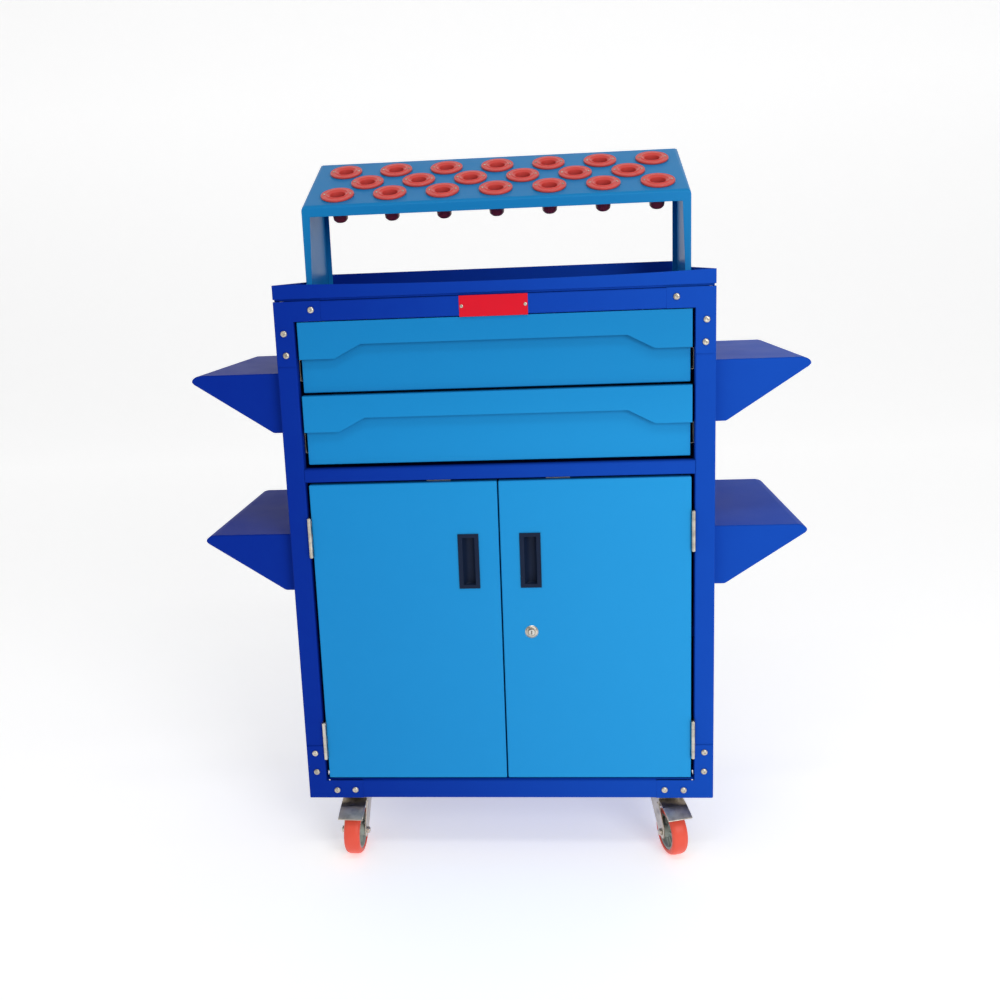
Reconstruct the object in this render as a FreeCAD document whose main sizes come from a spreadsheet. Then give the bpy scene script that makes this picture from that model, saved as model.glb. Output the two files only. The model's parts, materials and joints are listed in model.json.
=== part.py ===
"""Tool trolley for taper-shank machine tooling, as a parametric assembly.

A sheet-steel cabinet with two drawers and two doors stands on four swivel casters. A tray
closes its top, a sloping rack on the tray holds twenty tool pots, and two wedge brackets
stand out on each side. Millimetres, +X right, +Y to the back, +Z up. The origin is on the
floor under the middle of the cabinet.
"""

import FreeCAD, Part
import math
import operator
import os

import Sketcher
from FreeCAD import Placement, Rotation, Vector

DRIVING_SIZES = {
    # Cabinet frame
    "frame_width": 800.0,
    "frame_depth": 450.0,
    "frame_height": 986.5,
    "frame_base": 125.0,
    "post_face": 36.5,
    "post_side": 36.0,
    "post_lip": 20.0,
    "post_sheet": 2.0,
    "panel_sheet": 1.5,
    # Front rails, heights above the frame's base
    "rail_return": 20.0,
    "top_rail_low": 949.5,
    "top_rail_high": 986.0,
    "middle_rail_low": 647.0,
    "middle_rail_high": 672.5,
    "bottom_rail_high": 37.5,
    "top_gusset_reach": 88.4,
    "top_gusset_drop": 119.0,
    "bottom_gusset_reach": 110.0,
    "bottom_gusset_rise": 111.5,
    # Frame screws
    "screw_shank": 6.0,
    "screw_head": 12.6,
    "screw_dome": 3.4,
    # Drawers
    "drawer_height": 131.8,
    "drawer_upper_base": 816.5,
    "drawer_lower_base": 679.8,
    "drawer_lip_half": 358.4,
    "drawer_face_half": 356.0,
    "drawer_face_setback": 11.0,
    "drawer_face_return": 4.0,
    "lip_end_drop": 68.5,
    "lip_middle_drop": 43.0,
    "lip_flat_half": 242.5,
    "lip_foot_half": 292.0,
    "drawer_box_half": 349.0,
    "drawer_box_depth": 385.0,
    "drawer_box_height": 100.0,
    "drawer_box_raise": 7.0,
    "drawer_sheet": 1.2,
    "runner_length": 370.0,
    "runner_half_height": 20.0,
    "runner_depth": 12.0,
    "runner_raise": 41.0,
    # Doors
    "door_low": 42.4,
    "door_high": 642.3,
    "door_outer": 357.0,
    "door_inner": 1.3,
    "door_thickness": 18.0,
    "pull_width": 39.6,
    "pull_height": 107.2,
    "pull_base": 434.6,
    "pull_left_start": 79.0,
    "pull_right_start": 37.6,
    "pull_frame": 2.4,
    "pull_cup_start": 7.6,
    "pull_cup_width": 23.5,
    "pull_cup_height": 92.0,
    "pull_cup_depth": 14.0,
    "lock_across": 55.6,
    "lock_height": 345.7,
    "lock_flange": 25.6,
    "lock_barrel": 19.0,
    "lock_plug": 12.0,
    # Hinges
    "hinge_length": 77.0,
    "hinge_upper": 501.5,
    "hinge_lower": 85.2,
    "hinge_barrel": 7.5,
    "hinge_pin": 3.6,
    "hinge_sheet": 1.2,
    "hinge_leaf": 15.0,
    "running_gap": 0.05,
    # Top tray
    "tray_rim": 26.0,
    "tray_back_rise": 12.5,
    "tray_step": 4.0,
    "tray_floor_inset": 3.0,
    # Wedge brackets
    "wedge_top_upper": 853.3,
    "wedge_top_lower": 541.4,
    "wedge_fall": 113.5,
    "wedge_reach": 172.5,
    "wedge_front": 24.5,
    "wedge_gap": 1.5,
    # Rack
    "rack_half": 386.0,
    "rack_front": 218.0,
    "rack_run": 214.0,
    "rack_low_edge": 1165.5,
    "rack_high_edge": 1266.5,
    "rack_lip": 20.5,
    "rack_flange": 11.0,
    "rack_flange_top": 17.5,
    "rack_foot": 24.0,
    "rack_sheet": 2.0,
    # Tool pots, along and across the sloping plate
    "pot_pitch": 107.5,
    "pot_shift": 3.5,
    "pot_front_row": 49.0,
    "pot_row_pitch": 62.5,
    "pot_flange": 68.5,
    "pot_flange_thick": 4.5,
    "pot_ring": 45.0,
    "pot_ring_rise": 1.5,
    "pot_mouth": 31.75,
    "pot_mouth_drop": 1.0,
    "pot_bore": 19.0,
    "pot_bore_length": 13.0,
    "pot_body": 47.0,
    "pot_tail": 29.5,
    "pot_depth": 53.5,
    "pot_screw_circle": 54.0,
    "fit_gap": 0.3,
    # Name plate
    "plate_width": 124.0,
    "plate_centre": 4.0,
    # Casters
    "caster_across": 311.0,
    "caster_back": 52.0,
    "caster_trail": 38.0,
    "wheel_diameter": 92.0,
    "wheel_width": 32.0,
    "hub_diameter": 70.0,
    "axle": 8.0,
    "fork_inside": 40.0,
    "fork_sheet": 3.0,
    "kingpin": 12.0,
    "front_left_turn": -3.0,
    "front_right_turn": 17.0,
    "rear_left_turn": 171.0,
    "rear_right_turn": 194.0,
    "pedal_width": 50.0,
}


class Size:
    """A number with the spreadsheet formula that gives it."""

    def __init__(self, value, formula):
        self.value = float(value)
        self.formula = formula

    def __add__(self, other):
        return combine(self, "+", other)

    def __radd__(self, other):
        return combine(other, "+", self)

    def __sub__(self, other):
        return combine(self, "-", other)

    def __rsub__(self, other):
        return combine(other, "-", self)

    def __mul__(self, other):
        return combine(self, "*", other)

    def __rmul__(self, other):
        return combine(other, "*", self)

    def __truediv__(self, other):
        return combine(self, "/", other)

    def __neg__(self):
        return combine(0, "-", self)


OPERATIONS = {"+": operator.add, "-": operator.sub, "*": operator.mul, "/": operator.truediv}


def as_size(amount):
    """Give a plain number the same form as a driving size."""
    return amount if isinstance(amount, Size) else Size(amount, repr(float(amount)))


def combine(left, sign, right):
    """Work out two sizes together, as a number and as a formula."""
    left = as_size(left)
    right = as_size(right)
    value = OPERATIONS[sign](left.value, right.value)
    return Size(value, f"({left.formula} {sign} {right.formula})")


doc = FreeCAD.newDocument("tool_trolley")
sheet = doc.addObject("Spreadsheet::Sheet", "Sizes")


class DrivingSizes:
    """The spreadsheet's cells, each as a Size of the same name."""


sizes = DrivingSizes()
for row, (alias, number) in enumerate(DRIVING_SIZES.items(), start=1):
    sheet.set(f"A{row}", alias.replace("_", " "))
    sheet.set(f"B{row}", str(number))
    sheet.setAlias(f"B{row}", alias)
    setattr(sizes, alias, Size(number, f"Sizes.{alias}"))
doc.recompute()

SUB_PARTS = []


def bind(piece, settings):
    """Tie each property of a piece to its formula."""
    for name, amount in settings.items():
        amount = as_size(amount)
        piece.setExpression(name, amount.formula)
    return piece


def keep(piece, label):
    """Name a finished sub-part, which is written to a file of that name."""
    piece.Label = label
    SUB_PARTS.append(piece)
    return piece


def block(name, across, along, upward):
    """A rectangular piece between the given limits in X, Y and Z."""
    piece = doc.addObject("Part::Box", name)
    settings = {
        "Length": across[1] - as_size(across[0]),
        "Width": along[1] - as_size(along[0]),
        "Height": upward[1] - as_size(upward[0]),
        "Placement.Base.x": across[0],
        "Placement.Base.y": along[0],
        "Placement.Base.z": upward[0],
    }
    return bind(piece, settings)


TURN_TO_AXIS = {
    "X": Rotation(Vector(0, 1, 0), 90),
    "Y": Rotation(Vector(1, 0, 0), -90),
    "Z": Rotation(),
}


def rod(name, axis, radius, length, start):
    """A round bar of the given radius, running from start in the positive direction."""
    piece = doc.addObject("Part::Cylinder", name)
    piece.Placement = Placement(Vector(), TURN_TO_AXIS[axis])
    settings = {
        "Radius": radius,
        "Height": length,
        "Placement.Base.x": start[0],
        "Placement.Base.y": start[1],
        "Placement.Base.z": start[2],
    }
    return bind(piece, settings)


def hexagon(name, across_corners, height, start):
    """A hexagonal nut or bolt head lying along X."""
    piece = doc.addObject("Part::Prism", name)
    piece.Polygon = 6
    piece.Placement = Placement(Vector(), TURN_TO_AXIS["X"])
    settings = {
        "Circumradius": across_corners / 2,
        "Height": height,
        "Placement.Base.x": start[0],
        "Placement.Base.y": start[1],
        "Placement.Base.z": start[2],
    }
    return bind(piece, settings)


def join(name, pieces):
    """Weld pieces into one solid."""
    welded = doc.addObject("Part::MultiFuse", name)
    welded.Shapes = pieces
    welded.Refine = True
    return welded


def take(name, base, tool):
    """Cut the tool's volume out of the base."""
    cut = doc.addObject("Part::Cut", name)
    cut.Base = base
    cut.Tool = tool
    cut.Refine = True
    return cut


def together(name, pieces):
    """Keep separate solids in one sub-part."""
    bundle = doc.addObject("Part::Compound", name)
    bundle.Links = pieces
    return bundle


def origin_plane(body, role):
    """One of a body's own origin planes."""
    return next(plane for plane in body.Origin.OriginFeatures if plane.Role == role)


def pin_to_origin(sketch, index, amount, direction):
    """Fix one coordinate of a corner, on an axis or at a formula's distance from it."""
    amount = as_size(amount)
    if amount.formula == "0.0":
        axis = -2 if direction == "DistanceX" else -1
        sketch.addConstraint(Sketcher.Constraint("PointOnObject", index, 1, axis))
        return
    number = sketch.addConstraint(Sketcher.Constraint(direction, -1, 1, index, 1, amount.value))
    sketch.setExpression(f"Constraints[{number}]", amount.formula)


def outline(body, role, corners):
    """A closed polygon sketched on one of the body's origin planes."""
    sketch = body.newObject("Sketcher::SketchObject", body.Name + "_outline")
    sketch.AttachmentSupport = (origin_plane(body, role), [""])
    sketch.MapMode = "FlatFace"
    points = [Vector(as_size(a).value, as_size(b).value, 0) for a, b in corners]
    for index, point in enumerate(points):
        sketch.addGeometry(Part.LineSegment(point, points[(index + 1) % len(points)]))
    for index in range(len(points)):
        following = (index + 1) % len(points)
        sketch.addConstraint(Sketcher.Constraint("Coincident", index, 2, following, 1))
    for index, (a, b) in enumerate(corners):
        pin_to_origin(sketch, index, a, "DistanceX")
        pin_to_origin(sketch, index, b, "DistanceY")
    return sketch


def padded(name, role, corners, length, base):
    """A body pushed out of an outline along the plane's normal, then set at base."""
    body = doc.addObject("PartDesign::Body", name)
    sketch = outline(body, role, corners)
    pad = body.newObject("PartDesign::Pad", name + "_pad")
    pad.Profile = sketch
    pad.setExpression("Length", as_size(length).formula)
    settings = {
        "Placement.Base.x": base[0],
        "Placement.Base.y": base[1],
        "Placement.Base.z": base[2],
    }
    return bind(body, settings)


def revolved(name, corners):
    """A body turned about its own Z axis from an outline of radius and height."""
    body = doc.addObject("PartDesign::Body", name)
    sketch = outline(body, "XZ_Plane", corners)
    turn = body.newObject("PartDesign::Revolution", name + "_turn")
    turn.Profile = sketch
    turn.ReferenceAxis = (sketch, ["V_Axis"])
    turn.Angle = 360.0
    return body


def sided(side, inner, outer):
    """The span between two distances from the middle, on the left or on the right."""
    return (inner, outer) if side == "right" else (-as_size(outer), -as_size(inner))


def turned_solid(corners):
    """A solid of revolution about Z, from plain radius and height pairs."""
    points = [Vector(radius, 0, height) for radius, height in corners]
    wire = Part.makePolygon(points + [points[0]])
    return Part.Face(wire).revolve(Vector(), Vector(0, 0, 1), 360)


def dome_screw(head_radius, dome, shank_radius, length):
    """A dome-headed screw along Z, its head standing on the plane Z = 0."""
    sphere_radius = (head_radius**2 + dome**2) / (2 * dome)
    sphere = Part.makeSphere(sphere_radius, Vector(0, 0, dome - sphere_radius))
    keep_above = Part.makeBox(4 * head_radius, 4 * head_radius, 2 * dome)
    keep_above.translate(Vector(-2 * head_radius, -2 * head_radius, 0))
    head = sphere.common(keep_above)
    shank = Part.makeCylinder(shank_radius, length, Vector(0, 0, -length))
    return head.fuse(shank).removeSplitter()


def grouped(name, master, placements):
    """Copies of one solid at several places, kept as separate solids."""
    piece = doc.addObject("Part::Feature", name)
    copies = []
    for place in placements:
        copy = master.copy()
        copy.Placement = place.multiply(copy.Placement)
        copies.append(copy)
    piece.Shape = Part.makeCompound(copies)
    piece.Placement = Placement()
    return piece


half_width = sizes.frame_width / 2
front = -sizes.frame_depth / 2
back = sizes.frame_depth / 2
opening_half = half_width - sizes.post_face
base = sizes.frame_base
proud = front - sizes.post_sheet

FACING_FRONT = Rotation(Vector(1, 0, 0), 90)


def above_base(height):
    """A height over the floor, from one over the frame's base."""
    return base + height


# Frame ---------------------------------------------------------------------------------

def screw_spots():
    """Where the frame screws pass through the gussets, as X and height over the base."""
    spots = []
    for sign in (-1, 1):
        spots.append((sign * 329.5, 970.2))
        spots.append((sign * 382.7, 928.3))
        spots.append((sign * 381.0, 888.4))
        spots.append((sign * 382.0, 96.6))
        spots.append((sign * 381.4, 56.6))
        spots.append((sign * 342.4, 17.0))
        spots.append((sign * 305.7, 17.6))
    return spots


def frame_screw_places(depth_value):
    """Placements of the frame screws, pointing out of the front."""
    places = []
    for across, height in screw_spots():
        point = Vector(across, depth_value, sizes.frame_base.value + height)
        places.append(Placement(point, FACING_FRONT))
    return places


def build_frame():
    """Posts, rails and gussets with the screws that hold them together."""
    shank = sizes.screw_shank.value / 2
    grip = 2 * sizes.post_sheet.value
    hole = Part.makeCylinder(shank, 2 * grip, Vector(0, 0, -1.5 * grip))
    holes = grouped("screw_holes", hole, frame_screw_places(proud.value))
    sheet_gauge = sizes.post_sheet
    for side in ("left", "right"):
        sign = 1 if side == "right" else -1
        corners = [
            (sign * half_width, front),
            (sign * opening_half, front),
            (sign * opening_half, front + sizes.post_lip),
            (sign * (opening_half + sheet_gauge), front + sizes.post_lip),
            (sign * (opening_half + sheet_gauge), front + sheet_gauge),
            (sign * (half_width - sheet_gauge), front + sheet_gauge),
            (sign * (half_width - sheet_gauge), front + sizes.post_side),
            (sign * half_width, front + sizes.post_side),
        ]
        post = padded(f"{side}_post_section", "XY_Plane", corners, sizes.frame_height, (0, 0, base))
        keep(take(f"{side}_post_drilled", post, holes), f"front_{side}_post")
    rear_posts = []
    for side in ("left", "right"):
        sign = 1 if side == "right" else -1
        corners = [
            (sign * half_width, back),
            (sign * opening_half, back),
            (sign * opening_half, back - sheet_gauge),
            (sign * (half_width - sheet_gauge), back - sheet_gauge),
            (sign * (half_width - sheet_gauge), back - sizes.post_side),
            (sign * half_width, back - sizes.post_side),
        ]
        name = f"rear_{side}_post"
        rear_posts.append(padded(name, "XY_Plane", corners, sizes.frame_height, (0, 0, base)))
    keep(together("rear_post_pair", rear_posts), "rear_posts")
    build_rail("top_rail", sizes.top_rail_low, sizes.top_rail_high, sizes.top_gusset_reach, holes)
    build_rail("bottom_rail", 0, sizes.bottom_rail_high, sizes.bottom_gusset_reach, holes)
    low = above_base(sizes.middle_rail_low)
    high = above_base(sizes.middle_rail_high)
    parts = rail_channel("middle", opening_half, front, low, high)
    keep(join("middle_rail_section", parts), "middle_rail")
    gussets = []
    for side in ("left", "right"):
        gussets += build_gussets(side)
    keep(take("gussets_drilled", together("gusset_blanks", gussets), holes), "corner_gussets")
    screw = dome_screw(sizes.screw_head.value / 2, sizes.screw_dome.value, shank, grip + 1)
    keep(grouped("frame_screw_set", screw, frame_screw_places(proud.value)), "frame_screws")


def rail_channel(name, half, face, low, high):
    """A rail's front sheet with its upper and lower returns."""
    gauge = sizes.post_sheet
    rear = front + sizes.rail_return
    across = (-half, half)
    return [
        block(f"{name}_rail_face", across, (face, face + gauge), (low, high)),
        block(f"{name}_rail_upper_return", across, (face, rear), (high - gauge, high)),
        block(f"{name}_rail_lower_return", across, (face, rear), (low, low + gauge)),
    ]


def build_rail(name, low_over_base, high_over_base, gusset_reach, holes):
    """A front rail that stands proud between two gussets, with a tongue behind them."""
    low = above_base(low_over_base)
    high = above_base(high_over_base)
    gauge = sizes.post_sheet
    parts = rail_channel(name, half_width - gusset_reach, proud, low, high)
    tongue = block(
        f"{name}_tongue",
        (-opening_half, opening_half),
        (front, front + gauge),
        (low + gauge, high - gauge),
    )
    welded = join(f"{name}_welded", parts + [tongue])
    keep(take(f"{name}_drilled", welded, holes), name)


def build_gussets(side):
    """The upper and lower corner plates of one side."""
    top = above_base(sizes.frame_height)
    corner_inset = 1.5
    upper_arm = block(
        f"{side}_upper_gusset_arm",
        sided(side, half_width - sizes.top_gusset_reach, half_width - corner_inset),
        (proud, front),
        (above_base(sizes.top_rail_low), top),
    )
    upper_leg = block(
        f"{side}_upper_gusset_leg",
        sided(side, opening_half, half_width - corner_inset),
        (proud, front),
        (top - sizes.top_gusset_drop, top),
    )
    lower_arm = block(
        f"{side}_lower_gusset_arm",
        sided(side, half_width - sizes.bottom_gusset_reach, half_width - corner_inset),
        (proud, front),
        (base, above_base(sizes.bottom_rail_high)),
    )
    lower_leg = block(
        f"{side}_lower_gusset_leg",
        sided(side, opening_half, half_width - corner_inset),
        (proud, front),
        (base, above_base(sizes.bottom_gusset_rise)),
    )
    upper = join(f"{side}_upper_gusset", [upper_arm, upper_leg])
    lower = join(f"{side}_lower_gusset", [lower_arm, lower_leg])
    return [upper, lower]


# Cabinet panels ------------------------------------------------------------------------

def notched_panel(name, low, high):
    """A flat panel that fills the cabinet's plan and steps round the front posts."""
    side_half = half_width - sizes.post_sheet - sizes.panel_sheet
    behind_post = front + sizes.post_side + 2
    wide = block(f"{name}_wide", (-side_half, side_half), (behind_post, back - 4), (low, high))
    narrow = block(
        f"{name}_narrow",
        (-opening_half, opening_half),
        (front + sizes.post_sheet, behind_post),
        (low, high),
    )
    return [wide, narrow]


def build_panels():
    """Side, back, base, divider and shelf panels."""
    gauge = sizes.panel_sheet
    inner = half_width - sizes.post_sheet
    low = base + 2
    high = above_base(sizes.frame_height) - 2
    along = (front + sizes.post_sheet, back - sizes.post_sheet)
    for side in ("left", "right"):
        across = sided(side, inner - gauge, inner)
        keep(block(f"{side}_side_sheet", across, along, (low, high)), f"{side}_side_panel")
    back_face = back - sizes.post_sheet
    across = (-(inner - gauge), inner - gauge)
    keep(block("back_sheet", across, (back_face - gauge, back_face), (low, high)), "back_panel")
    floor_top = above_base(sizes.bottom_rail_high) + gauge
    floor = notched_panel("floor", floor_top - gauge, floor_top)
    keep(join("floor_sheet", floor), "floor_panel")
    divider_low = above_base(sizes.middle_rail_low) + sizes.post_sheet
    divider = notched_panel("divider", divider_low, divider_low + gauge)
    keep(join("divider_sheet", divider), "divider_panel")
    build_shelf(inner - gauge)
    channels = []
    for side in ("left", "right"):
        channels.append(base_channel(side))
    keep(together("base_channel_pair", channels), "base_channels")


def build_shelf(side_half):
    """The shelf in the cupboard, with its edges folded down."""
    gauge = sizes.panel_sheet
    top = above_base(332)
    skirt = top - 22
    along = (front + 62, back - 6)
    outer = block("shelf_outer", (-side_half, side_half), along, (skirt, top))
    hollow = block(
        "shelf_hollow",
        (-side_half + gauge, side_half - gauge),
        (along[0] + gauge, along[1] - gauge),
        (skirt - 1, top - gauge),
    )
    keep(take("shelf_sheet", outer, hollow), "cupboard_shelf")


def base_channel(side):
    """An upright-edged channel under the floor that carries two casters."""
    gauge = 2.5
    start = sizes.caster_across - 52
    end = sizes.caster_across + 50
    along = (front + sizes.rail_return + 0.5, back - 4)
    web = block(f"{side}_channel_web", sided(side, start, end), along, (base, base + gauge))
    rise = above_base(sizes.bottom_rail_high)
    inner = block(
        f"{side}_channel_inner", sided(side, start, start + gauge), along, (base, rise)
    )
    outer = block(f"{side}_channel_outer", sided(side, end - gauge, end), along, (base, rise))
    channel = join(f"{side}_base_channel", [web, inner, outer])
    holes = []
    for index, (x, y) in enumerate(caster_bolt_spots(side)):
        spot = (x, y, base - 5)
        holes.append(rod(f"{side}_channel_hole_{index}", "Z", 4.0, 12, spot))
    return take(f"{side}_base_channel_drilled", channel, join(f"{side}_channel_holes", holes))


# Drawers -------------------------------------------------------------------------------

def build_drawer(number, base_over_frame):
    """One drawer: its box, recessed face, proud lip and moving runners."""
    name = f"drawer_{number}"
    low = above_base(base_over_frame)
    high = low + sizes.drawer_height
    gauge = sizes.drawer_sheet
    setback = front + sizes.drawer_face_setback
    face_half = sizes.drawer_face_half
    face = take(
        f"{name}_face",
        block(
            f"{name}_face_outer",
            (-face_half, face_half),
            (setback, setback + sizes.drawer_face_return),
            (low, high - gauge),
        ),
        block(
            f"{name}_face_hollow",
            (-face_half + gauge, face_half - gauge),
            (setback + gauge, setback + sizes.drawer_face_return + 1),
            (low + gauge, high - 2 * gauge),
        ),
    )
    keep(together(f"{name}_face_and_lip", [face, build_lip(name, high, setback)]), f"{name}_front")
    box_low = low + sizes.drawer_box_raise
    box_front = setback + gauge
    box_back = box_front + sizes.drawer_box_depth
    half = sizes.drawer_box_half
    box_high = box_low + sizes.drawer_box_height
    walls = (box_low + gauge, box_high)
    between = (-half + gauge, half - gauge)
    sheets = [
        block(f"{name}_box_floor", (-half, half), (box_front, box_back), (box_low, walls[0])),
        block(f"{name}_box_left", (-half, -half + gauge), (box_front, box_back), walls),
        block(f"{name}_box_right", (half - gauge, half), (box_front, box_back), walls),
        block(f"{name}_box_front", between, (box_front, box_front + gauge), walls),
        block(f"{name}_box_back", between, (box_back - gauge, box_back), walls),
    ]
    keep(together(f"{name}_box_sheets", sheets), f"{name}_box")
    runner_mid = low + sizes.runner_raise
    rails = []
    for side in ("left", "right"):
        web = block(
            f"{name}_{side}_moving_web",
            sided(side, half, half + 1.5),
            (front + 24, front + 24 + sizes.runner_length),
            (runner_mid - 15, runner_mid + 15),
        )
        rib = block(
            f"{name}_{side}_moving_rib",
            sided(side, half, half + 9),
            (front + 24, front + 24 + sizes.runner_length),
            (runner_mid - 5, runner_mid + 5),
        )
        rails.append(join(f"{name}_{side}_moving_runner", [web, rib]))
    keep(together(f"{name}_moving_pair", rails), f"{name}_runners")


def build_lip(name, high, setback):
    """The lip that is the drawer's pull: deep at both ends and shallow between them."""
    gauge = sizes.drawer_sheet
    half = sizes.drawer_lip_half
    corners = [
        (-half, 0),
        (half, 0),
        (half, -sizes.lip_end_drop),
        (sizes.lip_foot_half, -sizes.lip_end_drop),
        (sizes.lip_flat_half, -sizes.lip_middle_drop),
        (-sizes.lip_flat_half, -sizes.lip_middle_drop),
        (-sizes.lip_foot_half, -sizes.lip_end_drop),
        (-half, -sizes.lip_end_drop),
    ]
    front_sheet = padded(f"{name}_lip_front", "XZ_Plane", corners, gauge, (0, front + gauge, high))
    top_sheet = block(
        f"{name}_lip_top", (-half, half), (front, setback + 8), (high - gauge, high)
    )
    cheeks = []
    for side in ("left", "right"):
        cheeks.append(
            block(
                f"{name}_lip_{side}_cheek",
                sided(side, half - gauge, half),
                (front, setback - 0.5),
                (high - sizes.lip_end_drop, high),
            )
        )
    return join(f"{name}_lip_folded", [front_sheet, top_sheet] + cheeks)


def build_fixed_runners():
    """The runners in the cabinet, each on two brackets from the side panel."""
    runners = []
    inner_wall = half_width - sizes.post_sheet - sizes.panel_sheet
    start = front + 22
    for number, drawer_base in ((1, sizes.drawer_upper_base), (2, sizes.drawer_lower_base)):
        middle = above_base(drawer_base) + sizes.runner_raise
        low = middle - sizes.runner_half_height
        high = middle + sizes.runner_half_height
        for side in ("left", "right"):
            name = f"runner_{number}_{side}"
            along = (start, start + sizes.runner_length)
            inside = opening_half - sizes.runner_depth
            outer = block(f"{name}_bar", sided(side, inside, opening_half), along, (low, high))
            groove = block(
                f"{name}_groove",
                sided(side, inside - 1, opening_half - 1.5),
                (start - 1, start + sizes.runner_length + 1),
                (low + 1.5, high - 1.5),
            )
            channel = take(f"{name}_channel", outer, groove)
            feet = []
            for place, offset in (("front", 20), ("rear", 320)):
                tube = block(
                    f"{name}_{place}_bracket",
                    sided(side, opening_half, inner_wall),
                    (start + offset, start + offset + 25),
                    (middle - 12, middle + 12),
                )
                bore = block(
                    f"{name}_{place}_bracket_bore",
                    sided(side, opening_half + 2, inner_wall - 2),
                    (start + offset - 1, start + offset + 26),
                    (middle - 10, middle + 10),
                )
                feet.append(take(f"{name}_{place}_foot", tube, bore))
            runners.append(join(name, [channel] + feet))
    keep(together("fixed_runner_set", runners), "fixed_runners")


# Doors ---------------------------------------------------------------------------------

def pull_start(side):
    """The left edge of a door's pull: both pulls face the same way."""
    return sizes.pull_right_start if side == "right" else -sizes.pull_left_start


def build_door(side):
    """A folded door with its flush pull and the leaves of its hinges."""
    gauge = sizes.drawer_sheet
    low = above_base(sizes.door_low)
    high = above_base(sizes.door_high)
    outer = block(
        f"{side}_door_outer",
        sided(side, sizes.door_inner, sizes.door_outer),
        (front, front + sizes.door_thickness),
        (low, high),
    )
    hollow = block(
        f"{side}_door_hollow",
        sided(side, sizes.door_inner + gauge, sizes.door_outer - gauge),
        (front + gauge, front + sizes.door_thickness + 1),
        (low + gauge, high - gauge),
    )
    pull_low = above_base(sizes.pull_base)
    cup_x = pull_start(side) + sizes.pull_cup_start
    cup_z = pull_low + (sizes.pull_height - sizes.pull_cup_height) / 2
    cup_wall = 1.6
    openings = [
        block(
            f"{side}_pull_cutout",
            (cup_x - cup_wall, cup_x + sizes.pull_cup_width + cup_wall),
            (front - 1, front + 3),
            (cup_z - cup_wall, cup_z + sizes.pull_cup_height + cup_wall),
        )
    ]
    if side == "right":
        spot = (sizes.lock_across, front - 1, above_base(sizes.lock_height))
        openings.append(rod("lock_cutout", "Y", sizes.lock_barrel / 2, 4, spot))
    pan = take(f"{side}_door_pan", outer, join(f"{side}_door_removed", [hollow] + openings))
    keep(pan, f"{side}_door_panel")
    frame_plate = block(
        f"{side}_pull_frame",
        (pull_start(side), pull_start(side) + sizes.pull_width),
        (front - sizes.pull_frame, front),
        (pull_low, pull_low + sizes.pull_height),
    )
    cup = block(
        f"{side}_pull_cup",
        (cup_x - cup_wall, cup_x + sizes.pull_cup_width + cup_wall),
        (front - sizes.pull_frame, front + sizes.pull_cup_depth),
        (cup_z - cup_wall, cup_z + sizes.pull_cup_height + cup_wall),
    )
    deep = front + sizes.pull_cup_depth - cup_wall
    slope = 7.0
    recess_corners = [
        (0, 0),
        (sizes.pull_cup_width, 0),
        (sizes.pull_cup_width, deep - front + sizes.pull_frame + 1),
        (slope, deep - front + sizes.pull_frame + 1),
    ]
    recess = padded(
        f"{side}_pull_recess",
        "XY_Plane",
        recess_corners,
        sizes.pull_cup_height,
        (cup_x, front - sizes.pull_frame - 1, cup_z),
    )
    body = join(f"{side}_pull_body", [frame_plate, cup])
    keep(take(f"{side}_pull_moulding", body, recess), f"{side}_door_pull")
    build_moving_leaves(side)


KNUCKLES = 5
KNUCKLE_GAP = 0.3


def hinge_axis(side):
    """X and Y of a door's hinge pins."""
    across = (sizes.door_outer + opening_half) / 2
    signed = across if side == "right" else -across
    return signed, front - sizes.hinge_barrel / 2 - 0.2


def knuckle_rods(label, side, low, numbers):
    """The rolled knuckles of one leaf, by their places up the barrel."""
    across, along = hinge_axis(side)
    pitch = sizes.hinge_length / KNUCKLES
    rods = []
    for number in numbers:
        spot = (across, along, low + pitch * number + KNUCKLE_GAP / 2)
        length = pitch - KNUCKLE_GAP
        rods.append(rod(f"{label}_{number}", "Z", sizes.hinge_barrel / 2, length, spot))
    return rods


def hinge_leaf(label, side, low, numbers, span, bore_radius):
    """One leaf: a strip on the door's or the post's edge, joined to its knuckles."""
    across, along = hinge_axis(side)
    pitch = sizes.hinge_length / KNUCKLES
    strips = [
        block(
            f"{label}_strip",
            sided(side, span[0], span[1]),
            (front + 1.5, front + 1.5 + sizes.hinge_leaf),
            (low, low + sizes.hinge_length),
        )
    ]
    for number in numbers:
        start = low + pitch * number + KNUCKLE_GAP / 2
        strips.append(
            block(
                f"{label}_tab_{number}",
                sided(side, span[0], span[1]),
                (along, front + 2),
                (start, start + pitch - KNUCKLE_GAP),
            )
        )
    solid = join(f"{label}_leaf", strips + knuckle_rods(f"{label}_knuckle", side, low, numbers))
    spot = (across, along, low - 1)
    bore = rod(f"{label}_bore", "Z", bore_radius, sizes.hinge_length + 2, spot)
    return take(f"{label}_bored", solid, bore)


def hinge_heights():
    """The foot of each hinge over the floor."""
    return (("upper", above_base(sizes.hinge_upper)), ("lower", above_base(sizes.hinge_lower)))


def build_moving_leaves(side):
    """The two leaves that turn with a door."""
    leaves = []
    running = sizes.hinge_pin / 2 + sizes.running_gap
    span = (sizes.door_outer, sizes.door_outer + sizes.hinge_sheet)
    for place, low in hinge_heights():
        label = f"{side}_{place}_moving"
        leaves.append(hinge_leaf(label, side, low, (1, 3), span, running))
    keep(together(f"{side}_moving_leaves", leaves), f"{side}_door_hinge_leaves")


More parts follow.
